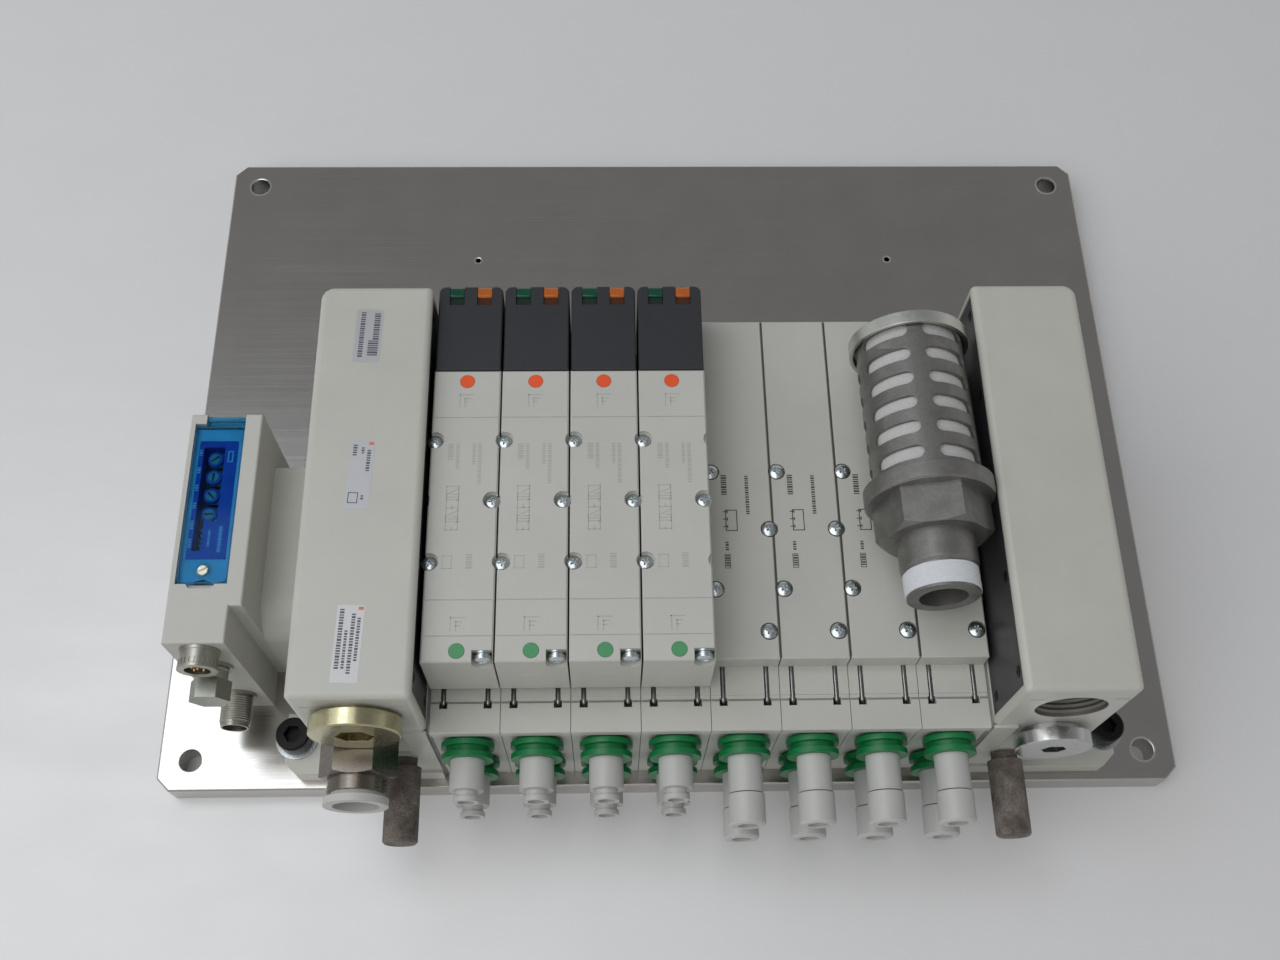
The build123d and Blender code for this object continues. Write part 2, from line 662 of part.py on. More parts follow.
def clamp_screw(x):
    """Screw with its spring washer and plain washer in the notch at a valve's front."""
    seat_y = VALVE_FRONT_Y + CLAMP_NOTCH_DEPTH
    height = VALVE_HEIGHT - CLAMP_WASHER_RADIUS - CLAMP_NOTCH_CLEARANCE
    washer = CLAMP_WASHER_THICKNESS
    spring = washer + CLAMP_SPRING_THICKNESS
    front = spring + CLAMP_HEAD_THICKNESS
    head_edge = CLAMP_HEAD_RADIUS - SCREW_EDGE
    return turned(
        facing_front(x + CLAMP_OFFSET, seat_y, height),
        [
            (-SCREW_SHANK_LENGTH, 0),
            (-SCREW_SHANK_LENGTH, SCREW_SHANK_RADIUS),
            (0, SCREW_SHANK_RADIUS),
            (0, CLAMP_WASHER_RADIUS),
            (washer, CLAMP_WASHER_RADIUS),
            (washer, CLAMP_SPRING_RADIUS),
            (spring, CLAMP_SPRING_RADIUS),
            (spring, CLAMP_HEAD_RADIUS),
            (front - SCREW_EDGE, CLAMP_HEAD_RADIUS),
            (front, head_edge),
            (front, SCREW_HEX_RADIUS),
            (front - SCREW_HEX_DEPTH, SCREW_HEX_RADIUS),
            (front - SCREW_HEX_DEPTH, 0),
        ],
    )


def pilot_cover(x):
    """Dark cover of the pilot valves, with two lamp windows over its back edge."""
    front = VALVE_SPLIT_Y + PILOT_JOINT
    with BuildPart() as cover:
        with BuildSketch(level(DECK_HEIGHT + PILOT_FLOOR)) as outline:
            with Locations((x, (front + PILOT_BACK_Y) / 2)):
                Rectangle(STATION_PITCH - PILOT_GAP, PILOT_BACK_Y - front)
            fillet(outline.vertices().group_by(Axis.Y)[-1], PILOT_CORNER)
        extrude(amount=VALVE_BODY_HEIGHT - PILOT_FLOOR)
        chamfer(cover.faces().sort_by(Axis.Z)[-1].edges(), VALVE_EDGE)
        with BuildSketch(level(VALVE_HEIGHT)):
            with Locations(*[(x + offset, PILOT_BACK_Y) for offset in LAMP_OFFSETS]):
                Rectangle(LAMP_WIDTH, 2 * LAMP_DEPTH)
        extrude(amount=-LAMP_SINK, mode=Mode.SUBTRACT)
    return cover.part


def override_button(x, y):
    """Manual override, a round button pressed with a tool."""
    with BuildPart() as button:
        with BuildSketch(level(VALVE_HEIGHT + OVERRIDE_PROUD)):
            with Locations((x, y)):
                Circle(OVERRIDE_RADIUS)
        extrude(amount=-OVERRIDE_LENGTH)
    return button.part


for number, station_x in enumerate(VALVE_XS, start=1):
    save(valve_body(station_x), f"valve_body_{number}")
    save(pilot_cover(station_x), f"pilot_cover_{number}")
    save(override_button(station_x, OVERRIDE_REAR_Y), f"override_button_rear_{number}")
    save(override_button(station_x, OVERRIDE_FRONT_Y), f"override_button_front_{number}")


def blanking_plate(x):
    """Plate that closes an unused station, with its screw seats."""
    with BuildPart() as plate:
        with BuildSketch(level(DECK_HEIGHT)):
            with Locations((x, (BLANK_FRONT_Y + BLANK_BACK_Y) / 2)):
                Rectangle(STATION_PITCH - BLANK_GAP, BLANK_BACK_Y - BLANK_FRONT_Y)
        extrude(amount=BLANK_THICKNESS)
        chamfer(plate.faces().sort_by(Axis.Z)[-1].edges(), BLANK_EDGE)
        with BuildSketch(level(BLANK_TOP)):
            with Locations(*screw_seats(x, BLANK_SCREWS)):
                Circle(SCREW_HEAD_RADIUS + SCREW_SEAT_CLEARANCE)
        extrude(amount=-SCREW_SEAT_DEPTH, mode=Mode.SUBTRACT)
        with BuildSketch(level(BLANK_TOP)):
            with Locations(*[(x + offset, y) for offset, y in BLANK_SCREWS]):
                Circle(SCREW_SHANK_RADIUS + SCREW_HOLE_CLEARANCE)
        extrude(amount=-(SCREW_SEAT_DEPTH + SCREW_SHANK_LENGTH), mode=Mode.SUBTRACT)
    return plate.part


for number, station_x in enumerate(BLANK_XS, start=VALVE_COUNT + 1):
    save(blanking_plate(station_x), f"blanking_plate_{number}")


def mounting_screw(x, y, top):
    """Pan head screw with a hexagon socket, seated below the face it holds."""
    with BuildPart() as screw:
        with BuildSketch(level(top - SCREW_SEAT_DEPTH)):
            with Locations((x, y)):
                Circle(SCREW_HEAD_RADIUS)
        extrude(amount=SCREW_HEAD_HEIGHT)
        chamfer(screw.edges().sort_by(Axis.Z)[-1], SCREW_EDGE)
        with BuildSketch(level(top - SCREW_SEAT_DEPTH)):
            with Locations((x, y)):
                Circle(SCREW_SHANK_RADIUS)
        extrude(amount=-SCREW_SHANK_LENGTH)
        with BuildSketch(level(top - SCREW_SEAT_DEPTH + SCREW_HEAD_HEIGHT)):
            with Locations((x, y)):
                RegularPolygon(SCREW_HEX_RADIUS, 6)
        extrude(amount=-SCREW_HEX_DEPTH, mode=Mode.SUBTRACT)
    return screw.part


save_group(
    [mounting_screw(x + dx, y, VALVE_HEIGHT) for x in VALVE_XS for dx, y in VALVE_SCREWS]
    + [mounting_screw(x + dx, y, BLANK_TOP) for x in BLANK_XS for dx, y in BLANK_SCREWS]
    + [clamp_screw(x) for x in VALVE_XS],
    "mounting_screws",
)


def end_block(side, width, second_offset):
    """End block with a main port, a second port, the pilot exhaust boss and a bolted foot."""
    row_end = ROW_CENTER_X + side * ROW_HALF
    inner = row_end + side * BLOCK_GAP
    outer = inner + side * width
    foot_end = ROW_CENTER_X + side * FOOT_REACH
    foot_front = BLOCK_FRONT_Y - FOOT_PROUD
    sinter_x = row_end + side * SINTER_OFFSET
    with BuildPart() as block:
        with BuildSketch(level(0)) as plan:
            with Locations(((inner + outer) / 2, (BLOCK_FRONT_Y + BLOCK_BACK_Y) / 2)):
                Rectangle(width, BLOCK_BACK_Y - BLOCK_FRONT_Y)
            outer_back = plan.vertices().sort_by_distance((outer, BLOCK_BACK_Y))[0]
            fillet(outer_back, BLOCK_OUTER_CORNER)
            inner_back = plan.vertices().sort_by_distance((inner, BLOCK_BACK_Y))[0]
            fillet(inner_back, BLOCK_INNER_CORNER)
            fillet(plan.vertices().group_by(Axis.Y)[0], BLOCK_INNER_CORNER)
        extrude(amount=BLOCK_HEIGHT)
        fillet(block.faces().sort_by(Axis.Z)[-1].edges(), BLOCK_TOP_EDGE)
        with BuildSketch(level(0)) as foot:
            with Locations(((inner + foot_end) / 2, foot_front + FOOT_DEPTH / 2)):
                Rectangle(abs(foot_end - inner), FOOT_DEPTH)
            chamfer(foot.vertices().sort_by_distance((foot_end, foot_front))[:1], FOOT_CORNER)
        extrude(amount=FOOT_HEIGHT)
        with BuildSketch(front_face(0, BLOCK_FRONT_Y, 0)):
            with Locations((inner + side * BOSS_WIDTH / 2, DECK_HEIGHT / 2)):
                Rectangle(BOSS_WIDTH, DECK_HEIGHT)
            with Locations((sinter_x, SINTER_HEIGHT)):
                Circle(BOSS_ROUND)
            with Locations((sinter_x, SINTER_HEIGHT / 2)):
                Rectangle(2 * BOSS_ROUND, SINTER_HEIGHT)
        extrude(amount=BOSS_PROUD)
        slot_radius = BOLT_THREAD_RADIUS + BOLT_HOLE_CLEARANCE
        bolt_x = ROW_CENTER_X + side * FOOT_BOLT_X
        with BuildSketch(level(FOOT_HEIGHT)):
            with Locations((bolt_x, FOOT_BOLT_Y)):
                Circle(slot_radius)
            with Locations((bolt_x + side * FOOT_BOLT_INSET, FOOT_BOLT_Y)):
                Rectangle(2 * FOOT_BOLT_INSET, 2 * slot_radius)
        extrude(amount=-FOOT_HEIGHT, mode=Mode.SUBTRACT)
        with BuildSketch(front_face(0, BLOCK_FRONT_Y, 0)):
            for slot_offset in BLOCK_SLOT_OFFSETS:
                with Locations((row_end + side * slot_offset, BLOCK_HEIGHT - BLOCK_SLOT_DROP)):
                    Rectangle(BLOCK_SLOT_WIDTH, BLOCK_SLOT_HEIGHT)
        extrude(amount=-BLOCK_SLOT_DEPTH, mode=Mode.SUBTRACT)
        main_x = row_end + side * MAIN_PORT_OFFSET
        second_x = row_end + side * second_offset
        with BuildSketch(front_face(0, BLOCK_FRONT_Y, 0)):
            with Locations((main_x, MAIN_PORT_HEIGHT)):
                Circle(MAIN_PORT_RADIUS)
        extrude(amount=-MAIN_PORT_DEPTH, mode=Mode.SUBTRACT)
        with BuildSketch(front_face(0, BLOCK_FRONT_Y, 0)):
            with Locations((main_x, MAIN_PORT_HEIGHT)):
                Circle(PASSAGE_RADIUS)
        extrude(amount=-PASSAGE_DEPTH, mode=Mode.SUBTRACT)
        with BuildSketch(front_face(0, BLOCK_FRONT_Y, 0)):
            with Locations((second_x, SECOND_PORT_HEIGHT)):
                Circle(SECOND_PORT_RADIUS)
        extrude(amount=-PLUG_THREAD_DEPTH - THREAD_RUNOUT, mode=Mode.SUBTRACT)
        with BuildSketch(front_face(0, BLOCK_FRONT_Y - BOSS_PROUD, 0)):
            with Locations((sinter_x, SINTER_HEIGHT)):
                Circle(SINTER_THREAD_RADIUS + THREAD_CLEARANCE)
        extrude(amount=-SINTER_THREAD_DEPTH - THREAD_RUNOUT, mode=Mode.SUBTRACT)
        relief_length = BLOCK_BACK_Y - BLOCK_FRONT_Y - 2 * BLOCK_RELIEF_RIM
        with BuildSketch(level(DECK_HEIGHT)):
            with Locations((inner, (BLOCK_FRONT_Y + BLOCK_BACK_Y) / 2)):
                Rectangle(2 * BLOCK_RELIEF, relief_length)
        extrude(amount=BLOCK_HEIGHT - BLOCK_RELIEF_RIM - DECK_HEIGHT, mode=Mode.SUBTRACT)
    return block.part


save(end_block(-1, SUPPLY_BLOCK_WIDTH, SECOND_PORT_OFFSET_SUPPLY), "supply_end_block")
save(end_block(1, EXHAUST_BLOCK_WIDTH, SECOND_PORT_OFFSET_EXHAUST), "exhaust_end_block")


def foot_washer(side):
    """Plain washer under a foot bolt."""
    with BuildPart() as washer:
        with BuildSketch(level(FOOT_HEIGHT)):
            with Locations((ROW_CENTER_X + side * FOOT_BOLT_X, FOOT_BOLT_Y)):
                Circle(WASHER_RADIUS)
                Circle(BOLT_THREAD_RADIUS + BOLT_HOLE_CLEARANCE, mode=Mode.SUBTRACT)
        extrude(amount=WASHER_THICKNESS)
    return washer.part


def foot_bolt(side):
    """Socket head cap screw that holds a foot to the mounting plate."""
    head_seat = FOOT_HEIGHT + WASHER_THICKNESS
    spot = (ROW_CENTER_X + side * FOOT_BOLT_X, FOOT_BOLT_Y)
    with BuildPart() as bolt:
        with BuildSketch(level(head_seat)):
            with Locations(spot):
                Circle(BOLT_HEAD_RADIUS)
        extrude(amount=BOLT_HEAD_HEIGHT)
        chamfer(bolt.edges().sort_by(Axis.Z)[-1], BOLT_HEAD_EDGE)
        with BuildSketch(level(head_seat + BOLT_HEAD_HEIGHT)):
            with Locations(spot):
                RegularPolygon(BOLT_HEX_RADIUS, 6)
        extrude(amount=-BOLT_HEX_DEPTH, mode=Mode.SUBTRACT)
        with BuildSketch(level(head_seat)):
            with Locations(spot):
                Circle(BOLT_THREAD_RADIUS)
        extrude(amount=-(head_seat + PLATE_THICKNESS - BOLT_TIP_GAP))
    return bolt.part


save_group([foot_washer(side) for side in (-1, 1)], "foot_washers")
save_group([foot_bolt(side) for side in (-1, 1)], "foot_bolts")


def threaded_plug(x, height, neck, head_radius, head_thickness, thread_radius, hexagon):
    """Screw plug with a round head that stands off by its neck, and a hexagon socket."""
    seat_y = BLOCK_FRONT_Y - neck
    with BuildPart() as plug:
        with BuildSketch(front_face(0, seat_y, 0)):
            with Locations((x, height)):
                Circle(head_radius)
        extrude(amount=head_thickness)
        chamfer(plug.edges().group_by(Axis.Y)[0], PLUG_HEAD_EDGE)
        with BuildSketch(front_face(0, seat_y, 0)):
            with Locations((x, height)):
                Circle(thread_radius - THREAD_CLEARANCE)
        extrude(amount=-PLUG_THREAD_DEPTH - neck)
        with BuildSketch(front_face(0, seat_y - head_thickness, 0)):
            with Locations((x, height)):
                RegularPolygon(hexagon * HEX_CORNER, 6)
        extrude(amount=-PLUG_HEX_DEPTH, mode=Mode.SUBTRACT)
    return plug.part


save(
    threaded_plug(
        ROW_LEFT_X - MAIN_PORT_OFFSET,
        MAIN_PORT_HEIGHT,
        SUPPLY_PLUG_NECK,
        SUPPLY_PLUG_RADIUS,
        SUPPLY_PLUG_THICKNESS,
        MAIN_PORT_RADIUS,
        SUPPLY_PLUG_HEX,
    ),
    "supply_port_plug",
)
save(
    threaded_plug(
        ROW_RIGHT_X + SECOND_PORT_OFFSET_EXHAUST,
        SECOND_PORT_HEIGHT,
        EXHAUST_PLUG_NECK,
        EXHAUST_PLUG_RADIUS,
        EXHAUST_PLUG_THICKNESS,
        SECOND_PORT_RADIUS,
        EXHAUST_PLUG_HEX,
    ),
    "exhaust_port_plug",
)

# Nickel-plated push-in fitting of the supply port, with its release collar
SUPPLY_X = ROW_LEFT_X - SECOND_PORT_OFFSET_SUPPLY
supply_axis = facing_front(SUPPLY_X, BLOCK_FRONT_Y, SECOND_PORT_HEIGHT)
supply_bore = SUPPLY_TUBE_RADIUS + SUPPLY_COLLAR_WALL + RUNNING_CLEARANCE
supply_front = SUPPLY_HEX_LENGTH + SUPPLY_BARREL_LENGTH
supply_bore_floor = supply_front - SUPPLY_COLLAR_DEPTH - SUPPLY_COLLAR_TRAVEL
with BuildPart() as supply_fitting:
    with BuildSketch(front_face(0, BLOCK_FRONT_Y, 0)):
        with Locations((SUPPLY_X, SECOND_PORT_HEIGHT)):
            RegularPolygon(SUPPLY_HEX * HEX_CORNER, 6)
    extrude(amount=SUPPLY_HEX_LENGTH)
    with BuildSketch(supply_axis):
        with BuildLine():
            Polyline(*hexagon_chamfer(SUPPLY_HEX_LENGTH, SUPPLY_HEX), close=True)
        make_face()
    revolve(axis=Axis(supply_axis.origin, supply_axis.x_dir), mode=Mode.SUBTRACT)
    with BuildSketch(supply_axis):
        with BuildLine():
            Polyline(
                (-PLUG_THREAD_DEPTH, 0),
                (-PLUG_THREAD_DEPTH, SECOND_PORT_RADIUS - THREAD_CLEARANCE),
                (0, SECOND_PORT_RADIUS - THREAD_CLEARANCE),
                (0, SUPPLY_BARREL_RADIUS),
                (supply_front, SUPPLY_BARREL_RADIUS),
                (supply_front, 0),
                close=True,
            )
        make_face()
    revolve(axis=Axis(supply_axis.origin, supply_axis.x_dir))
    with BuildSketch(supply_axis):
        with BuildLine():
            Polyline(
                (-PLUG_THREAD_DEPTH, 0),
                (-PLUG_THREAD_DEPTH, SUPPLY_BORE_RADIUS),
                (supply_bore_floor, SUPPLY_BORE_RADIUS),
                (supply_bore_floor, supply_bore),
                (supply_front, supply_bore),
                (supply_front, 0),
                close=True,
            )
        make_face()
    revolve(axis=Axis(supply_axis.origin, supply_axis.x_dir), mode=Mode.SUBTRACT)
save(supply_fitting.part, "supply_fitting")

supply_rim_back = supply_front + SUPPLY_COLLAR_STAND_OFF
supply_rim_front = supply_rim_back + SUPPLY_COLLAR_THICKNESS
supply_neck_end = supply_front - SUPPLY_COLLAR_DEPTH
with BuildPart() as supply_release_collar:
    with BuildSketch(supply_axis):
        with BuildLine():
            Polyline(
                (supply_neck_end, SUPPLY_TUBE_RADIUS),
                (supply_neck_end, SUPPLY_TUBE_RADIUS + SUPPLY_COLLAR_WALL),
                (supply_rim_back, SUPPLY_TUBE_RADIUS + SUPPLY_COLLAR_WALL),
                (supply_rim_back, SUPPLY_COLLAR_RADIUS),
                (supply_rim_front, SUPPLY_COLLAR_RADIUS),
                (supply_rim_front, SUPPLY_TUBE_RADIUS),
                close=True,
            )
        make_face()
    revolve(axis=Axis(supply_axis.origin, supply_axis.x_dir))
save(supply_release_collar.part, "supply_release_collar")


def sintered_silencer(side):
    """Sintered pilot exhaust silencer, a porous cylinder on a short threaded neck."""
    seat_y = BLOCK_FRONT_Y - BOSS_PROUD
    front = SINTER_NECK + SINTER_LENGTH
    return turned(
        facing_front(ROW_CENTER_X + side * (ROW_HALF + SINTER_OFFSET), seat_y, SINTER_HEIGHT),
        [
            (-SINTER_THREAD_DEPTH, 0),
            (-SINTER_THREAD_DEPTH, SINTER_THREAD_RADIUS),
            (0, SINTER_THREAD_RADIUS),
            (0, SINTER_NECK_RADIUS),
            (SINTER_NECK, SINTER_NECK_RADIUS),
            (SINTER_NECK, SINTER_RADIUS),
            (front - SINTER_EDGE, SINTER_RADIUS),
            (front, SINTER_RADIUS - SINTER_EDGE),
            (front, 0),
        ],
    )


save_group([sintered_silencer(side) for side in (-1, 1)], "pilot_silencers")

# Exhaust silencer, lying on the blanking plates on the rims of its cap and flange
cage_end = SILENCER_CAP_LENGTH + SILENCER_CAGE_LENGTH
flange_end = cage_end + SILENCER_FLANGE_LENGTH
hex_end = flange_end + SILENCER_HEX_LENGTH
neck_end = hex_end + SILENCER_NECK_LENGTH
thread_end = neck_end + SILENCER_THREAD_LENGTH
rim_spacing = cage_end + (SILENCER_FLANGE_LENGTH - SILENCER_CAP_LENGTH) / 2
turn = math.radians(SILENCER_TURN)
tilt = math.asin((SILENCER_FLANGE_RADIUS - SILENCER_CAP_RADIUS) / rim_spacing)
silencer_direction = Vector(
    math.sin(turn) * math.cos(tilt), -math.cos(turn) * math.cos(tilt), math.sin(tilt)
)
silencer_side = Vector(math.cos(turn), math.sin(turn), 0)
silencer_rest = PLATE_THICKNESS + BLANK_TOP + SILENCER_CAP_RADIUS + REST_GAP
silencer_axis = Plane(
    origin=(SILENCER_X, SILENCER_BACK_Y, silencer_rest),
    x_dir=silencer_direction,
    z_dir=silencer_side,
)
silencer_spin = Axis(silencer_axis.origin, silencer_axis.x_dir)
silencer_up = silencer_axis.y_dir * -1
cage_inner = SILENCER_CAGE_RADIUS - SILENCER_CAGE_WALL


def silencer_station(distance):
    """Plane across the silencer at a distance from its capped end."""
    return Plane(
        origin=silencer_axis.origin + silencer_direction * distance,
        x_dir=silencer_side,
        z_dir=silencer_direction,
    )


def slot_plane(distance, degrees):
    """Plane on the silencer's axis that faces outward at an angle from the top."""
    angle = math.radians(degrees)
    return Plane(
        origin=silencer_axis.origin + silencer_direction * distance,
        x_dir=silencer_direction,
        z_dir=silencer_up * math.cos(angle) + silencer_side * math.sin(angle),
    )


column_step = 360 / SILENCER_SLOT_COLUMNS
slot_length = 2 * SILENCER_CAGE_RADIUS * math.sin(math.radians(SILENCER_SLOT_ARC / 2))
with BuildPart() as exhaust_silencer_body:
    with BuildSketch(silencer_axis):
        with BuildLine():
            Polyline(
                (SILENCER_CAP_SHEET, cage_inner),
                (SILENCER_CAP_SHEET, SILENCER_CAGE_RADIUS),
                (cage_end, SILENCER_CAGE_RADIUS),
                (cage_end + SILENCER_FLANGE_EDGE, SILENCER_FLANGE_RADIUS),
                (flange_end - SILENCER_FLANGE_EDGE, SILENCER_FLANGE_RADIUS),
                (flange_end, SILENCER_FLANGE_RADIUS - SILENCER_FLANGE_EDGE),
                (flange_end, SILENCER_NECK_RADIUS),
                (neck_end - SILENCER_SHOULDER, SILENCER_NECK_RADIUS),
                (neck_end, SILENCER_THREAD_RADIUS),
                (thread_end, SILENCER_THREAD_RADIUS),
                (thread_end, SILENCER_BORE_RADIUS),
                (cage_end, SILENCER_BORE_RADIUS),
                (cage_end, cage_inner),
                close=True,
            )
        make_face()
    revolve(axis=silencer_spin)
    with BuildSketch(silencer_station(flange_end)):
        RegularPolygon(SILENCER_HEX * HEX_CORNER, 6, rotation=SILENCER_HEX_ROLL)
        Circle(SILENCER_BORE_RADIUS, mode=Mode.SUBTRACT)
    extrude(amount=SILENCER_HEX_LENGTH)
    with BuildSketch(silencer_axis):
        with BuildLine():
            Polyline(*hexagon_chamfer(hex_end, SILENCER_HEX), close=True)
        make_face()
    revolve(axis=silencer_spin, mode=Mode.SUBTRACT)
    for row in range(SILENCER_SLOT_ROWS):
        for column in range(SILENCER_SLOT_COLUMNS):
            place = SILENCER_FIRST_SLOT + row * SILENCER_SLOT_PITCH
            with BuildSketch(slot_plane(place, (column + 0.5) * column_step - SILENCER_SLOT_ROLL)):
                SlotOverall(slot_length, SILENCER_SLOT_WIDTH, rotation=90)
            extrude(amount=SILENCER_CAP_RADIUS, mode=Mode.SUBTRACT)
save(exhaust_silencer_body.part, "exhaust_silencer_body")

element_radius = cage_inner - ELEMENT_CLEARANCE
save(
    turned(
        silencer_axis,
        [
            (SILENCER_CAP_SHEET, element_radius - ELEMENT_WALL),
            (SILENCER_CAP_SHEET, element_radius),
            (cage_end, element_radius),
            (cage_end, element_radius - ELEMENT_WALL),
        ],
    ),
    "exhaust_silencer_element",
)
save(
    turned(
        silencer_axis,
        [
            (0, 0),
            (0, SILENCER_CAP_RADIUS),
            (SILENCER_CAP_LENGTH, SILENCER_CAP_RADIUS),
            (SILENCER_CAP_LENGTH, SILENCER_CAP_RADIUS - SILENCER_CAP_SHEET),
            (SILENCER_CAP_SHEET, SILENCER_CAP_RADIUS - SILENCER_CAP_SHEET),
            (SILENCER_CAP_SHEET, 0),
        ],
    ),
    "exhaust_silencer_cap",
)

# Serial unit: housing with a switch window under a hinged cover, and its connectors
window_center_x = (WINDOW_OUTER_X + WINDOW_INNER_X) / 2
window_center_y = (WINDOW_FRONT_Y + WINDOW_BACK_Y) / 2
window_width = WINDOW_INNER_X - WINDOW_OUTER_X
window_length = WINDOW_BACK_Y - WINDOW_FRONT_Y
hinge_width = WINDOW_INNER_X - HINGE_NOTCH_OUTER_X
hinge_center_x = (WINDOW_INNER_X + HINGE_NOTCH_OUTER_X) / 2
hinge_y = (WINDOW_BACK_Y + SERIAL_BACK_Y) / 2
cover_top = SERIAL_HEIGHT - COVER_SINK
cover_under = cover_top - COVER_SHEET
hinge_height = cover_top - HINGE_BARREL_RADIUS
panel_top = SERIAL_HEIGHT - PANEL_SINK
window_floor = SERIAL_HEIGHT - WINDOW_DEPTH
with BuildPart() as serial_housing:
    with BuildSketch(level(0)):
        with BuildLine():
            Polyline(
                (SERIAL_OUTER_X, SERIAL_FRONT_Y),
                (SERIAL_NECK_X, SERIAL_FRONT_Y),
                (SERIAL_NECK_X, SERIAL_STEP_Y),
                (SERIAL_INNER_X, SERIAL_STEP_Y),
                (SERIAL_INNER_X, SERIAL_BACK_Y),
                (SERIAL_OUTER_X, SERIAL_BACK_Y),
                close=True,
            )
        make_face()
    extrude(amount=SERIAL_HEIGHT)
    fillet(serial_housing.faces().sort_by(Axis.Z)[-1].edges(), SERIAL_EDGE)
    with BuildSketch(level(SERIAL_HEIGHT)):
        with Locations((window_center_x, window_center_y)):
            Rectangle(window_width, window_length)
    extrude(amount=-WINDOW_DEPTH, mode=Mode.SUBTRACT)
    with BuildSketch(level(SERIAL_HEIGHT)):
        with Locations((hinge_center_x, hinge_y)):
            Rectangle(hinge_width, SERIAL_BACK_Y - WINDOW_BACK_Y)
    extrude(amount=-HINGE_NOTCH_DEPTH, mode=Mode.SUBTRACT)
    with BuildSketch(level(SERIAL_HEIGHT)):
        with Locations((COVER_SCREW_X, WINDOW_FRONT_Y)):
            SlotOverall(FINGER_NOTCH_LENGTH, 2 * FINGER_NOTCH_DEPTH)
    extrude(amount=-(SERIAL_HEIGHT - cover_under), mode=Mode.SUBTRACT)
    with BuildSketch(level(window_floor)):
        with Locations((COVER_SCREW_X, COVER_SCREW_Y)):
            Circle(COVER_POST_RADIUS)
            Circle(COVER_POST_HOLE_RADIUS, mode=Mode.SUBTRACT)
    extrude(amount=panel_top - window_floor)
    with BuildSketch(Plane.YZ.offset(HINGE_NOTCH_OUTER_X)):
        with Locations((hinge_y, PLATE_THICKNESS + hinge_height)):
            Circle(HINGE_PIN_RADIUS)
    extrude(amount=hinge_width)
save(serial_housing.part, "serial_housing")

with BuildPart() as serial_cover:
    cover_back_y = WINDOW_BACK_Y - COVER_REAR_GAP
    cover_front_y = WINDOW_FRONT_Y + WINDOW_CLEARANCE
    with BuildSketch(level(cover_under)):
        with Locations((window_center_x, (cover_back_y + cover_front_y) / 2)):
            Rectangle(window_width - 2 * WINDOW_CLEARANCE, cover_back_y - cover_front_y)
        with Locations((hinge_center_x, (cover_back_y + hinge_y) / 2)):
            Rectangle(hinge_width - 2 * HINGE_CLEARANCE, hinge_y - cover_back_y)
        with Locations((COVER_SCREW_X, COVER_SCREW_Y)):
            Circle(COVER_SCREW_RADIUS, mode=Mode.SUBTRACT)
    extrude(amount=COVER_SHEET)
    with BuildSketch(Plane.YZ.offset(HINGE_NOTCH_OUTER_X + HINGE_CLEARANCE)):
        with Locations((hinge_y, PLATE_THICKNESS + hinge_height)):
            Circle(HINGE_BARREL_RADIUS)
    extrude(amount=hinge_width - 2 * HINGE_CLEARANCE)
    with BuildSketch(Plane.YZ.offset(HINGE_NOTCH_OUTER_X + HINGE_CLEARANCE)):
        with Locations((hinge_y, PLATE_THICKNESS + hinge_height)):
            Circle(HINGE_PIN_RADIUS + RUNNING_CLEARANCE)
    extrude(amount=hinge_width - 2 * HINGE_CLEARANCE, mode=Mode.SUBTRACT)
save(serial_cover.part, "serial_cover")

slot_center_y = (PANEL_SLOT_BACK_Y + PANEL_SLOT_FRONT_Y) / 2
slot_run = PANEL_SLOT_BACK_Y - PANEL_SLOT_FRONT_Y
strip_x = PANEL_SLOT_X - (PANEL_SLOT_WIDTH - PANEL_STRIP_WIDTH) / 2
strip_center_y = (PANEL_SLOT_BACK_Y + PANEL_STRIP_FRONT_Y) / 2
strip_run = PANEL_SLOT_BACK_Y - PANEL_STRIP_FRONT_Y
with BuildPart() as switch_panel:
    with BuildSketch(level(window_floor)) as panel_outline:
        with Locations(((PANEL_OUTER_X + PANEL_INNER_X) / 2, (PANEL_FRONT_Y + PANEL_BACK_Y) / 2)):
            Rectangle(PANEL_INNER_X - PANEL_OUTER_X, PANEL_BACK_Y - PANEL_FRONT_Y)
        fillet(panel_outline.vertices(), PANEL_CORNER)
        with Locations((PANEL_SLOT_X, slot_center_y)):
            Rectangle(PANEL_SLOT_WIDTH, slot_run, mode=Mode.SUBTRACT)
        with Locations((strip_x, strip_center_y)):
            Rectangle(PANEL_STRIP_WIDTH, strip_run, mode=Mode.SUBTRACT)
    extrude(amount=panel_top - window_floor)
    with BuildSketch(level(window_floor)):
        with Locations((PANEL_SLOT_X, slot_center_y)):
            Rectangle(PANEL_SLOT_WIDTH, slot_run)
        with Locations((strip_x, strip_center_y)):
            Rectangle(PANEL_STRIP_WIDTH, strip_run)
    extrude(amount=PANEL_WEB)
    switch_pitch = slot_run / SWITCH_COUNT
    switch_ys = [PANEL_SLOT_BACK_Y - switch_pitch * (n + 0.5) for n in range(SWITCH_COUNT)]
    with BuildSketch(level(window_floor)):
        with Locations(*[(PANEL_SLOT_X, y) for y in switch_ys]):
            Circle(SWITCH_RADIUS)
    extrude(amount=SWITCH_HEIGHT)
save(switch_panel.part, "switch_panel")


def connector(height, length, radius, end_radius, bore_radius, bore_depth):
    """Round connector on the front of the serial unit, open at its outer end."""
    return turned(
        facing_front(CONNECTOR_X, SERIAL_FRONT_Y, height),
        [
            (0, 0),
            (0, CONNECTOR_RING_RADIUS),
            (CONNECTOR_RING, CONNECTOR_RING_RADIUS),
            (CONNECTOR_RING, radius),
            (length - CONNECTOR_RING, radius),
            (length - CONNECTOR_RING, end_radius),
            (length, end_radius),
            (length, bore_radius),
            (length - bore_depth, bore_radius),
            (length - bore_depth, 0),
        ],
    )


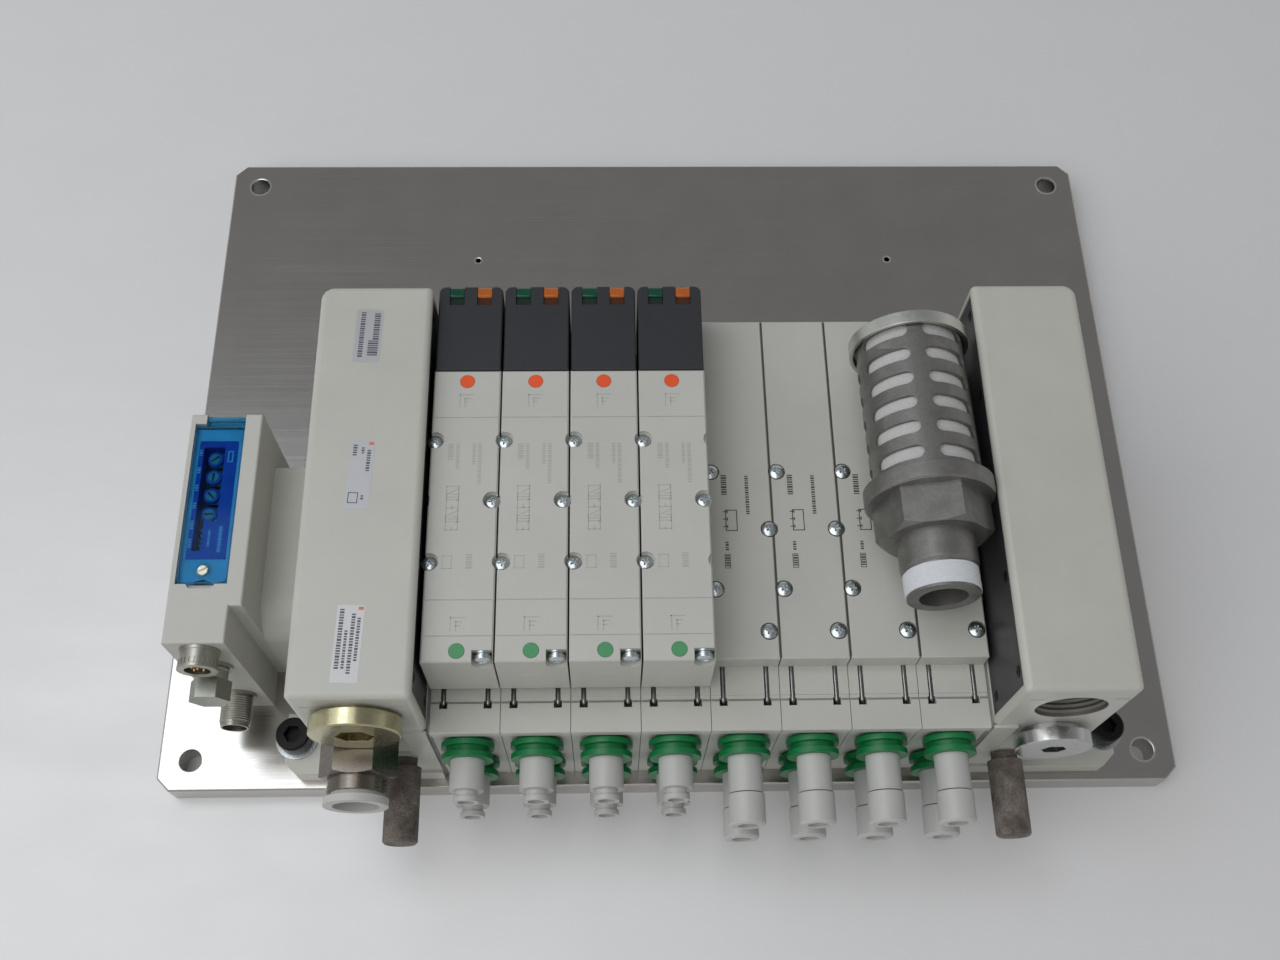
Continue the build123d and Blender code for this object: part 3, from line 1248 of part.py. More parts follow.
m12_end = M12_RADIUS - M12_LEAD_IN
bus_in = connector(
    BUS_IN_HEIGHT,
    BUS_IN_LENGTH,
    BUS_IN_RADIUS,
    BUS_IN_RADIUS + BUS_IN_LIP,
    BUS_IN_BORE_RADIUS,
    BUS_IN_BORE_DEPTH,
)
bus_out = connector(
    BUS_OUT_HEIGHT, BUS_OUT_LENGTH, M12_RADIUS, m12_end, M12_BORE_RADIUS, BUS_OUT_BORE
)
power = connector(
    POWER_HEIGHT, POWER_LENGTH, M12_RADIUS, m12_end, M12_BORE_RADIUS, M12_BORE_DEPTH
)
save_group([bus_in, bus_out, power], "serial_connectors")

with BuildPart() as dust_cap:
    with BuildSketch(front_face(0, SERIAL_FRONT_Y - CAP_STAND_OFF, 0)):
        with Locations((CONNECTOR_X, BUS_OUT_HEIGHT)):
            RegularPolygon(CAP_HEX * HEX_CORNER, 6)
    extrude(amount=CAP_LENGTH)
    with BuildSketch(front_face(0, SERIAL_FRONT_Y - CAP_STAND_OFF, 0)):
        with Locations((CONNECTOR_X, BUS_OUT_HEIGHT)):
            Circle(M12_RADIUS + THREAD_CLEARANCE)
    extrude(amount=BUS_OUT_LENGTH - CAP_STAND_OFF + CAP_CLEARANCE, mode=Mode.SUBTRACT)
save(dust_cap.part, "dust_cap")

with BuildPart() as serial_adapter:
    with BuildSketch(Plane.YZ.offset(SERIAL_INNER_X)):
        with BuildLine():
            Polyline(
                (ADAPTER_FRONT_Y, PLATE_THICKNESS),
                (ADAPTER_FRONT_Y, PLATE_THICKNESS + ADAPTER_HEIGHT),
                (ADAPTER_BACK_Y, PLATE_THICKNESS + ADAPTER_HEIGHT),
                (ADAPTER_BACK_Y, PLATE_THICKNESS),
                close=True,
            )
        make_face()
    extrude(amount=SUPPLY_OUTER_X - SERIAL_INNER_X)
    top_front = serial_adapter.edges().filter_by(Axis.X).group_by(Axis.Z)[-1].sort_by(Axis.Y)[0]
    fillet(top_front, ADAPTER_ROUND)
save(serial_adapter.part, "serial_adapter")
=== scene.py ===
"""Pneumatic valve island: finishes, small pieces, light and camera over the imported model."""

from __future__ import annotations

import itertools
import logging
import math
from dataclasses import dataclass
from enum import Enum
from typing import Iterable, Mapping, Sequence

import bmesh
import bpy
from mathutils import Matrix, Vector, noise

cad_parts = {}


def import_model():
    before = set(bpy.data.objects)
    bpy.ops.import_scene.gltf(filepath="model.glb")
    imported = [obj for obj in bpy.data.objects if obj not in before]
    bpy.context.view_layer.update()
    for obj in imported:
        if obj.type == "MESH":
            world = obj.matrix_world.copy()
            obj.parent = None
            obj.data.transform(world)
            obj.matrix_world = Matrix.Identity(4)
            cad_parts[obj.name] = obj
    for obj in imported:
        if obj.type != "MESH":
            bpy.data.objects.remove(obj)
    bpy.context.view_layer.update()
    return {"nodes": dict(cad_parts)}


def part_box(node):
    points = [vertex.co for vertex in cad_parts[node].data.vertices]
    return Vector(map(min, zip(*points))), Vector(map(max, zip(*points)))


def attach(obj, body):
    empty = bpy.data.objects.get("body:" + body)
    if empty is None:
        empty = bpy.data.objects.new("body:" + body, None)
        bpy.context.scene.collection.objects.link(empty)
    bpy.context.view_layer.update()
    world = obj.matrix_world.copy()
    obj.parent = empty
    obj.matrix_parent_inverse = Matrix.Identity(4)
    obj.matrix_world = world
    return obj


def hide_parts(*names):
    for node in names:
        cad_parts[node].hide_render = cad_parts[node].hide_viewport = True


MM = 0.001
LOG = logging.getLogger("valve_island")
Socket = bpy.types.NodeSocket
Vert = bmesh.types.BMVert
Point = tuple[float, float]
Triple = tuple[float, float, float]
Colour = tuple[float, float, float, float]
Column = tuple[float, float, float, float]


class Body(Enum):
    """Bodies of the model that scene pieces ride on."""

    ISLAND = "island"
    COVER = "switch_cover"


class Side(Enum):
    """Ends of the row, with the sign of x that leads outward."""

    SUPPLY = -1
    EXHAUST = 1


def tone(red: int, green: int, blue: int) -> Colour:
    """Linear colour of a tone written as it looks on a screen.

    Args:
        red: Red from 0 to 255.
        green: Green from 0 to 255.
        blue: Blue from 0 to 255.

    Returns:
        The linear colour with full alpha.
    """
    parts = [part / 255 for part in (red, green, blue)]
    linear = [p / 12.92 if p <= 0.04045 else ((p + 0.055) / 1.055) ** 2.4 for p in parts]
    return (linear[0], linear[1], linear[2], 1.0)


def shade(colour: Colour, factor: float) -> Colour:
    """Colour made darker or lighter by a factor."""
    red, green, blue = (min(part * factor, 1.0) for part in colour[:3])
    return (red, green, blue, 1.0)


class Surface:
    """Material under construction, with its coordinates in millimetres of the object."""

    def __init__(self, name: str) -> None:
        """Start a material with one shader.

        Args:
            name: Name of the finish.
        """
        self.material = bpy.data.materials.new(name)
        self.material.use_nodes = True
        self.tree = self.material.node_tree
        self.tree.nodes.clear()
        self.shader = self.node("BsdfPrincipled", {})
        self.node("OutputMaterial", {"Surface": self.shader.outputs["BSDF"]})
        self.place = self.node("TexCoord", {}).outputs["Object"]

    def node(self, kind: str, inputs: Mapping[str | int, Socket | float | Sequence[float]]) -> bpy.types.Node:
        """Add a node.

        Args:
            kind: Type of the node, without its usual first part.
            inputs: Sockets by name or number, and the constant or the output that each takes.

        Returns:
            The node.
        """
        node = self.tree.nodes.new(f"ShaderNode{kind}")
        if kind == "Mix":
            node.data_type = "RGBA"
        for name, value in inputs.items():
            if isinstance(value, bpy.types.NodeSocket):
                self.tree.links.new(value, node.inputs[name])
            else:
                node.inputs[name].default_value = value
        return node

    def fix(self, **values: float) -> None:
        """Set constants on the shader's own sockets, named with underscores for spaces."""
        for name, value in values.items():
            self.shader.inputs[name.replace("_", " ")].default_value = value

    def link(self, value: Socket, name: str) -> None:
        """Lead a value that changes over the surface into one of the shader's sockets."""
        self.tree.links.new(value, self.shader.inputs[name])

    def stretched(self, scale: Triple) -> Socket:
        """Coordinates in millimetres, stretched along the axes."""
        inputs = {"Scale": [part / MM for part in scale], "Vector": self.place}
        return self.node("Mapping", inputs).outputs["Vector"]

    def noise(self, scale: Triple, detail: float = 3.0, rough: float = 0.5) -> Socket:
        """Fractal noise between 0 and 1.

        Args:
            scale: Features to a millimetre along the axes.
            detail: Number of octaves.
            rough: Strength of the finer octaves.

        Returns:
            The noise value.
        """
        inputs = {"Scale": 1.0, "Detail": detail, "Roughness": rough, "Vector": self.stretched(scale)}
        return self.node("TexNoise", inputs).outputs["Fac"]

    def span(self, value: Socket, low: float, high: float, start: float = 0.3, end: float = 0.7) -> Socket:
        """Stretch a part of a value's range onto another range.

        Args:
            value: Incoming value.
            low: Result at the start.
            high: Result at the end.
            start: Incoming value that gives the low result.
            end: Incoming value that gives the high result.

        Returns:
            The stretched value.
        """
        inputs = {"Value": value, "From Min": start, "From Max": end, "To Min": low, "To Max": high}
        return self.node("MapRange", inputs).outputs["Result"]

    def blend(self, share: Socket, first: Colour | Socket, second: Colour | Socket) -> Socket:
        """Mix two colours by the share of the second one."""
        return self.node("Mix", {0: share, 6: first, 7: second}).outputs[2]

    def paint(self, share: Socket, first: Colour, second: Colour) -> None:
        """Colour the surface between two tones, by the share of the second one."""
        self.link(self.blend(self.span(share, 0.0, 1.0), first, second), "Base Color")

    def gloss(self, share: Socket, middle: float, reach: float) -> None:
        """Let the roughness run from middle - reach to middle + reach with a value."""
        self.link(self.span(share, middle - reach, middle + reach), "Roughness")

    def relief(self, height: Socket, depth: float, rounding: float = 0.0) -> None:
        """Give the surface fine relief, over softly rounded edges.

        Args:
            height: Height between 0 and 1.
            depth: Height of the relief in millimetres.
            rounding: Radius of the broken edges in millimetres, none if 0.
        """
        inputs = {"Strength": 1.0, "Distance": depth * MM, "Height": height}
        if rounding:
            edge = self.node("Bevel", {"Radius": rounding * MM})
            edge.samples = 4
            inputs["Normal"] = edge.outputs["Normal"]
        self.link(self.node("Bump", inputs).outputs["Normal"], "Normal")


@dataclass(frozen=True)
class MouldedPlastic:
    """Injection-moulded or powder-coated surface with a fine spark texture."""

    name: str
    colour: Colour
    roughness: float = 0.42
    grain: float = 0.35
    depth: float = 0.02
    rounding: float = 0.25
    patch: float = 0.93

    def material(self) -> bpy.types.Material:
        """Make the material.

        Returns:
            The finished material.
        """
        surface = Surface(self.name)
        patches = surface.noise((0.03, 0.03, 0.03), 4.0, 0.6)
        grain = surface.noise((1 / self.grain, 1 / self.grain, 1 / self.grain), 2.0)
        surface.paint(patches, shade(self.colour, self.patch), shade(self.colour, 1.03))
        surface.gloss(patches, self.roughness, 0.06)
        surface.relief(grain, self.depth, self.rounding)
        return surface.material


@dataclass(frozen=True)
class WorkedMetal:
    """Bare or plated metal with tool marks that run one way."""

    name: str
    colour: Colour
    roughness: float = 0.3
    spread: float = 0.08
    marks: Triple = (0.6, 0.6, 0.6)
    depth: float = 0.004
    rounding: float = 0.2
    patch: float = 0.85
    metallic: float = 1.0

    def material(self) -> bpy.types.Material:
        """Make the material.

        Returns:
            The finished material.
        """
        surface = Surface(self.name)
        marks = surface.noise(self.marks, 4.0, 0.65)
        patches = surface.noise((0.05, 0.05, 0.05))
        surface.fix(Metallic=self.metallic)
        surface.paint(patches, shade(self.colour, self.patch), self.colour)
        surface.gloss(marks, self.roughness, self.spread)
        surface.relief(marks, self.depth, self.rounding)
        return surface.material


@dataclass(frozen=True)
class GrainyMetal:
    """Cast or sintered metal, dull, with grains and darker pits."""

    name: str
    light: Colour
    dark: Colour
    grain: float
    depth: float
    metallic: float
    roughness: float

    def material(self) -> bpy.types.Material:
        """Make the material.

        Returns:
            The finished material.
        """
        surface = Surface(self.name)
        place = surface.stretched((1 / self.grain, 1 / self.grain, 1 / self.grain))
        grains = surface.node("TexVoronoi", {"Scale": 1.0, "Vector": place}).outputs["Distance"]
        patches = surface.noise((0.12, 0.12, 0.12), 5.0, 0.6)
        surface.fix(Metallic=self.metallic)
        mottled = surface.blend(surface.span(patches, 0.0, 1.0), self.dark, self.light)
        pitted = surface.blend(surface.span(grains, 0.0, 0.5, 0.1, 0.8), mottled, self.dark)
        surface.link(pitted, "Base Color")
        surface.gloss(patches, self.roughness, -0.08)
        surface.relief(grains, self.depth, 0.3)
        return surface.material


@dataclass(frozen=True)
class Felt:
    """White fibre of the silencer's element or wound sealing tape."""

    name: str
    colour: Colour
    fibre: Triple
    depth: float

    def material(self) -> bpy.types.Material:
        """Make the material.

        Returns:
            The finished material.
        """
        surface = Surface(self.name)
        fibres = surface.noise(self.fibre, 4.0, 0.7)
        surface.fix(Roughness=0.85, Sheen_Weight=0.15)
        surface.paint(fibres, shade(self.colour, 0.82), self.colour)
        surface.relief(fibres, self.depth)
        return surface.material


@dataclass(frozen=True)
class ClearPlastic:
    """Tinted clear moulding, as on the hinged cover and the lamp lenses."""

    name: str
    colour: Colour
    transmission: float
    roughness: float
    index: float = 1.49

    def material(self) -> bpy.types.Material:
        """Make the material.

        Returns:
            The finished material.
        """
        surface = Surface(self.name)
        waves = surface.noise((0.25, 0.25, 0.25), 2.0)
        surface.fix(Transmission_Weight=self.transmission, IOR=self.index)
        surface.paint(waves, shade(self.colour, 0.9), self.colour)
        surface.gloss(waves, self.roughness, 0.4 * self.roughness)
        surface.relief(waves, 0.01, 0.15)
        return surface.material


Finish = MouldedPlastic | WorkedMetal | GrainyMetal | Felt | ClearPlastic


def ink(name: str, colour: Colour, roughness: float = 0.5, grain: float = 0.3) -> MouldedPlastic:
    """Thin print or a joint line, almost without relief."""
    return MouldedPlastic(name, colour, roughness, grain, 0.004, 0.0)


def plating(
    name: str,
    colour: Colour,
    roughness: float,
    rounding: float = 0.3,
    spread: float = 0.05,
    depth: float = 0.0008,
) -> WorkedMetal:
    """Plated turned piece, with marks across its axis."""
    return WorkedMetal(name, colour, roughness, spread, (0.4, 1.6, 0.4), depth, rounding)


def foil(name: str, colour: Colour, roughness: float, patch: float, metallic: float) -> WorkedMetal:
    """Smooth sticker with some metallic sheen."""
    return WorkedMetal(name, colour, roughness, 0.06, (0.6, 0.6, 0.6), 0.002, 0.0, patch, metallic)


IVORY = tone(185, 185, 178)
FINISHES: dict[str, Finish] = {
    "milled_aluminium": WorkedMetal(
        "milled_aluminium_face", tone(184, 181, 176), 0.24, 0.04, (0.01, 2.2, 2.2), 0.006, 0.4, 0.94
    ),
    "ivory_plastic": MouldedPlastic("ivory_moulding", IVORY, 0.45, 0.3, 0.012, 0.2, 0.96),
    "block_grey": MouldedPlastic("coated_casting", tone(184, 184, 176), 0.36, 0.9, 0.02, 0.5, 0.96),
    "charcoal_plastic": MouldedPlastic("charcoal_moulding", tone(38, 39, 43), 0.5, 0.3, 0.02, 0.3),
    "green_plastic": MouldedPlastic("green_moulding", tone(0, 112, 58), 0.4, 0.5, 0.01, 0.2),
    "orange_plastic": MouldedPlastic("orange_moulding", tone(226, 84, 34), 0.45, 0.4, 0.01, 0.2),
    "fitting_grey_plastic": MouldedPlastic(
        "fitting_moulding", tone(181, 181, 178), 0.4, 0.4, 0.01, 0.25, 0.95
    ),
    "steel_wire": WorkedMetal("spring_wire", tone(150, 150, 148), 0.3, 0.08, (1.5, 0.2, 1.5)),
    "zinc_plated_steel": WorkedMetal(
        "zinc_plate", tone(206, 213, 215), 0.27, 0.05, (1.6, 1.6, 1.6), 0.002, 0.15
    ),
    "black_oxide_steel": WorkedMetal(
        "black_oxide", tone(38, 37, 37), 0.42, 0.1, (0.8, 0.8, 0.8), 0.006, 0.3, 0.7, 0.85
    ),
    "nickel_plate": plating("nickel_plate", tone(118, 112, 105), 0.28),
    "sintered_metal": GrainyMetal(
        "sintered_bronze", tone(146, 138, 131), tone(78, 70, 64), 0.95, 0.22, 0.15, 0.8
    ),
    "cast_silencer_metal": GrainyMetal(
        "die_cast_metal", tone(144, 143, 140), tone(115, 114, 111), 0.9, 0.02, 0.7, 0.42
    ),
    "silencer_felt": Felt("white_fibre", tone(196, 196, 194), (1.2, 1.2, 1.2), 0.15),
    "clear_blue_plastic": ClearPlastic("clear_blue", tone(132, 212, 250), 1.0, 0.05, 1.15),
    "blue_plastic": MouldedPlastic("blue_moulding", tone(49, 64, 157), 0.4, 0.4, 0.01, 0.15),
}
PALE_GREEN = MouldedPlastic("pale_green_moulding", tone(70, 144, 94), 0.45, 0.4, 0.01, 0.2)
NEUTRAL_NICKEL = plating("neutral_nickel", tone(172, 170, 160), 0.34, 0.2, 0.03, 0.0004)
NODE_FINISHES: dict[str, Finish] = {
    "supply_port_plug": plating("yellow_chromate", tone(192, 187, 152), 0.24),
    "exhaust_port_plug": plating("bright_plate", tone(196, 197, 196), 0.24),
    "serial_connectors": NEUTRAL_NICKEL,
    "dust_cap": plating("dull_nickel", tone(146, 149, 140), 0.36, 0.25),
    "exhaust_silencer_cap": WorkedMetal(
        "pressed_steel", tone(216, 218, 210), 0.34, 0.06, (0.5, 0.5, 0.5), 0.004, 0.5
    ),
    **{f"override_button_front_{number}": PALE_GREEN for number in range(1, 5)},
}
STICKERS = (
    foil("silver_sticker", tone(179, 180, 183), 0.4, 0.95, 0.35),
    foil("grey_sticker", tone(184, 185, 188), 0.42, 0.95, 0.25),
    foil("white_sticker", tone(198, 199, 200), 0.45, 0.97, 0.1),
)
STICKER_PRINT = ink("sticker_print", tone(81, 85, 92))
STICKER_RED = ink("sticker_red", tone(200, 115, 101))
PRINT_DARK = ink("dark_print", tone(69, 68, 66))
PRINT_WHITE = ink("white_print", tone(197, 202, 206))
# Darker ivory lines where the embossed marks' edges fall into shade: painted shade.
EMBOSS_PAINTED_SHADE = ink("raised_mark", shade(IVORY, 0.8), 0.45)
FAINT_PRINT = ink("faint_print", shade(IVORY, 0.8), 0.45)
COVER_EDGE = ink("cover_edge", tone(6, 69, 105), 0.35, 0.4)
# Dark strips over the seams between blanking plates: painted shade in the seams.
SEAM_PAINTED_SHADE = ink("seam_painted_shade", tone(64, 63, 59), 0.6, 0.4)
# Darker line laid in the deck groove: painted shade.
GROOVE_PAINTED_SHADE = ink("groove_painted_shade", tone(131, 130, 124), 0.6, 0.4)
BLACK_RUBBER = MouldedPlastic("black_rubber", tone(32, 32, 33), 0.6, 0.5, 0.02, 0.1)
# Mid-grey sheet set into the gaps beside the end blocks: painted shade.
END_GAP_PAINTED_SHADE = MouldedPlastic("end_gasket", tone(139, 139, 135), 0.6, 0.5, 0.02, 0.1)
PANEL_BLACK = MouldedPlastic("black_panel", tone(48, 47, 51), 0.4, 0.6, 0.02, 0.2)
WINDOW_LINING = MouldedPlastic("window_lining", tone(174, 193, 201), 0.5, 0.4, 0.01, 0.1)
SWITCH_GREY = MouldedPlastic("switch_grey", tone(56, 71, 74), 0.45, 0.4, 0.01, 0.1)
ROTOR_GREY = MouldedPlastic("rotor_grey", tone(130, 144, 139), 0.4, 0.4, 0.01, 0.1)
BRASS = WorkedMetal("brass_screw", tone(214, 180, 130), 0.3, 0.08, (0.8, 0.8, 0.8), 0.006, 0.15)
PALE_BRASS = WorkedMetal("pale_brass", tone(190, 184, 168), 0.3, 0.06, (0.8, 0.8, 0.8), 0.003, 0.15)
# Paler than the plate's own aluminium: painted glint on the hole chamfers.
RIM_PAINTED_GLINT = WorkedMetal("rim_painted_glint", tone(226, 226, 224), 0.2, 0.06, (1.0, 1.0, 1.0), 0.004, 0.0)
# Machined thread, its colour darkened as painted shade inside the port.
MACHINED_BORE_PAINTED_SHADE = WorkedMetal(
    "machined_bore_painted_shade", tone(116, 114, 109), 0.4, 0.08, (0.8, 2.0, 0.8), 0.01, 0.1, 0.85, 0.4
)
SEAL_TAPE = Felt("seal_tape", tone(214, 217, 222), (0.4, 3.0, 0.4), 0.06)
GREEN_LENS = ClearPlastic("green_lens", tone(12, 81, 57), 0.25, 0.18)
ORANGE_LENS = ClearPlastic("orange_lens", tone(202, 108, 42), 0.25, 0.18)
LAMP_WHITE = ClearPlastic("lamp_white", tone(182, 186, 185), 0.3, 0.2)
LAMP_GREEN = ClearPlastic("lamp_green", tone(144, 184, 94), 0.3, 0.2)


class Finishes:
    """The finished materials, each made once."""

    def __init__(self) -> None:
        """Start with none made."""
        self.made: dict[str, bpy.types.Material] = {}

    def __getitem__(self, wanted: str | Finish) -> bpy.types.Material:
        """Material of one of the record's slots, or of a finish that only scene pieces use.

        Args:
            wanted: Name of the slot, or the finish.

        Returns:
            The finished material.
        """
        finish = FINISHES[wanted] if isinstance(wanted, str) else wanted
        if finish.name not in self.made:
            self.made[finish.name] = finish.material()
        return self.made[finish.name]

    def dress_nodes(self, nodes: dict[str, bpy.types.Object]) -> None:
        """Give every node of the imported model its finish, slot by slot.

        Args:
            nodes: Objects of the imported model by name.
        """
        for name, node in nodes.items():
            for place in node.material_slots:
                place.material = self[NODE_FINISHES.get(name, place.material.name.split(".")[0])]
        LOG.info("%d nodes dressed", len(nodes))


def shifted(x: float, y: float, z: float = 0.0) -> Matrix:
    """Shift by millimetres along a place's three directions."""
    return Matrix.Translation((x, y, z))


def turned_by(degrees: float) -> Matrix:
    """Turn about a place's third direction."""
    return Matrix.Rotation(math.radians(degrees), 4, "Z")


def on_front(x: float, y: float, z: float) -> Matrix:
    """Place in a front face, whose outline stands and whose thickness runs to the front."""
    return shifted(x, y, z) @ Matrix.Rotation(math.pi / 2, 4, "X")


def on_side(x: float, y: float, z: float, side: Side) -> Matrix:
    """Place in a face that looks along the row, whose first direction is y and third the outward one."""
    return shifted(x, y, z) @ Matrix(((0, 0, side.value, 0), (1, 0, 0, 0), (0, 1, 0, 0), (0, 0, 0, 1)))


def arc(radius: float, start: float, sweep: float, steps: int) -> list[Point]:
    """Points along an arc from one end to the other, with angles in degrees."""
    angles = [math.radians(start + sweep * n / steps) for n in range(steps + 1)]
    return [(radius * math.cos(angle), radius * math.sin(angle)) for angle in angles]


def rectangle(width: float, height: float, corner: float = 0.0, steps: int = 4) -> list[Point]:
    """Outline of a rectangle round its centre.

    Args:
        width: Size along the first direction.
        height: Size along the second direction.
        corner: Radius of the corners.
        steps: Pieces of each rounded corner.

    Returns:
        The outline's points.
    """
    x, y = width / 2 - corner, height / 2 - corner
    if not corner:
        return [(-x, -y), (x, -y), (x, y), (-x, y)]
    points = []
    for quarter, (sx, sy) in enumerate(((1, 1), (-1, 1), (-1, -1), (1, -1))):
        points += [(sx * x + u, sy * y + v) for u, v in arc(corner, 90 * quarter, 90, steps)]
    return points


class Shape:
    """Mesh under construction, in millimetres."""

    def __init__(self) -> None:
        """Start an empty mesh."""
        self.mesh = bmesh.new()

    def loop(self, points: Iterable[Point], place: Matrix, rise: float) -> list[Vert]:
        """Add the vertices of an outline at a height over its place."""
        return [self.mesh.verts.new(place @ Vector((u, v, rise))) for u, v in points]

    def skin(self, loops: Sequence[Sequence[Vert]], closed: bool = False) -> None:
        """Join loops of vertices, each to the next.

        Args:
            loops: Loops of as many vertices each.
            closed: Whether the last loop joins the first.
        """
        for loop, after in zip(loops, [*loops[1:], loops[0]] if closed else loops[1:]):
            for n in range(len(loop)):
                m = (n + 1) % len(loop)
                self.mesh.faces.new((loop[n], loop[m], after[m], after[n]))

    def slab(self, outline: Sequence[Point], place: Matrix, thickness: float) -> Shape:
        """Add an outline with a thickness.

        Args:
            outline: Points in the place's first two directions.
            place: Where the outline lies.
            thickness: Length along the place's third direction.

        Returns:
            This shape.
        """
        low, high = self.loop(outline, place, 0.0), self.loop(outline, place, thickness)
        self.mesh.faces.new(low[::-1])
        self.mesh.faces.new(high)
        self.skin([low, high])
        return self

    def turned(self, profile: Iterable[Point], place: Matrix, steps: int = 40) -> Shape:
        """Add a closed profile turned about the place's third direction.

        Args:
            profile: Distances along the axis and radii.
            place: Where the axis lies.
            steps: Facets round the axis.

        Returns:
            This shape.
        """
        self.skin([self.loop(arc(r, 0, 360, steps)[:-1], place, d) for d, r in profile], closed=True)
        return self

    def finish(
        self,
        name: str,
        material: bpy.types.Material,
        body: Body = Body.ISLAND,
        edge: float = 0.0,
        slot: str | None = None,
    ) -> bpy.types.Object:
        """Turn the mesh into an object that rides on a body.

        Args:
            name: Name of the piece.
            material: Its finish.
            body: Body it rides on.
            edge: Width of its broken edges in millimetres.
            slot: Not used.

        Returns:
            The object.
        """
        bmesh.ops.remove_doubles(self.mesh, verts=self.mesh.verts, dist=1e-4)
        bmesh.ops.recalc_face_normals(self.mesh, faces=self.mesh.faces)
        bmesh.ops.scale(self.mesh, vec=(MM, MM, MM), verts=self.mesh.verts)
        data = bpy.data.meshes.new(name)
        self.mesh.to_mesh(data)
        self.mesh.free()
        data.shade_smooth()
        data.set_sharp_from_angle(angle=math.radians(32))
        data.materials.append(material)
        piece = bpy.data.objects.new(name, data)
        bpy.context.scene.collection.objects.link(piece)
        if edge:
            broken = piece.modifiers.new("broken_edges", "BEVEL")
            broken.width = edge * MM
            broken.segments = 2
            broken.angle_limit = math.radians(40)
        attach(piece, body.value)
        LOG.info("%s: %d faces on %s", name, len(data.polygons), body.value)
        return piece


@dataclass(frozen=True)
class Span:
    """Box of a node at rest, in millimetres."""

    low: Vector
    high: Vector

    @classmethod
    def of(cls, node: str) -> Span:
        """Read the box of a node by its name."""
        low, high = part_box(node)
        return cls(Vector(low) / MM, Vector(high) / MM)

    @property
    def middle(self) -> Vector:
        """Centre of the box."""
        return (self.low + self.high) / 2


def lines(shape: Shape, place: Matrix, points: Sequence[Point], width: float) -> None:
    """Add printed or raised lines from point to point.

    Args:
        shape: Shape that takes the lines.
        place: Face that they lie on.
        points: Points in the face's two directions.
        width: Width of the lines.
    """
    for start, end in zip(points, points[1:]):
        run, middle = Vector(end) - Vector(start), (Vector(start) + Vector(end)) / 2
        turn = Matrix.Rotation(math.atan2(run.y, run.x), 4, "Z")
        shape.slab(rectangle(run.length + width, width), place @ shifted(*middle) @ turn, 0.03)


def frame_lines(shape: Shape, place: Matrix, width: float, height: float, line: float) -> None:
    """Add the four lines of a frame round a place."""
    corners = rectangle(width, height)
    lines(shape, place, [*corners, corners[0]], line)


def text_columns(shape: Shape, place: Matrix, *columns: Column) -> None:
    """Add columns of short bars, where the real face carries small print.

    Args:
        shape: Shape that takes the bars.
        place: Face that they lie on.
        *columns: For each, its middle in the first direction, its rear and front end and its width.
    """
    for x, y, end, width in columns:
        for length in itertools.cycle((0.5, 0.75, 0.45, 0.65, 0.5, 0.85)):
            if y - length <= end:
                break
            shape.slab(rectangle(width, length), place @ shifted(x, y - length / 2), 0.02)
            y -= length + 0.35


def valve_symbol(shape: Shape, place: Matrix, cells: int, size: float, line: float) -> None:
    """Add the standard circuit symbol of a valve: joined squares with flow arrows.

    Args:
        shape: Shape that takes the symbol.
        place: Middle of the symbol, which runs along the second direction.
        cells: Number of squares.
        size: Side of a square.
        line: Width of the lines.
    """
    half, quarter = size / 2, size / 4
    crossed = (((-half, -quarter), (half, quarter)), ((half, -quarter), (0, -quarter)))
    straight = (
        ((-half, quarter), (half, quarter)),
        ((size / 3, size / 8), (half, quarter)),
        ((0, -quarter), (0, -half)),
    )
    for n in range(cells):
        middle = place @ shifted(0, (n - (cells - 1) / 2) * size)
        frame_lines(shape, middle, size, size, line)
        for run in crossed if n % 2 else straight:
            lines(shape, middle, run, line)


@dataclass
class BasePlate:
    """Mounting plate: chamfered rims of its holes, in a paler metal that paints their glint."""

    finishes: Finishes
    corner: Point = (190.0, 138.8)
    corner_radius: float = 4.75
    tapped_x: Point = (-84.3, 108.3)
    tapped_y: float = 96.3
    tapped_radius: float = 1.6
    clear: float = 0.04

    def build(self) -> None:
        """Make the broken edges of the drilled and tapped holes, paler than the plate as a painted glint."""
        top = Span.of("mounting_plate").high.z
        x, y = self.corner
        holes = [(sx * x, sy * y, self.corner_radius) for sx in (-1, 1) for sy in (-1, 1)]
        holes += [(x, self.tapped_y, self.tapped_radius) for x in self.tapped_x]
        section = ((-1.2, -0.05), (-0.1, -0.25), (0.03, 0.2), (0.03, 0.55), (-0.2, 0.5))
        rims = Shape()
        for x, y, radius in holes:
            inner = radius - self.clear
            rims.turned([(rise, inner + out) for rise, out in section], shifted(x, y, top), 32)
        rims.finish("hole_rims", self.finishes[RIM_PAINTED_GLINT], slot="milled_aluminium")


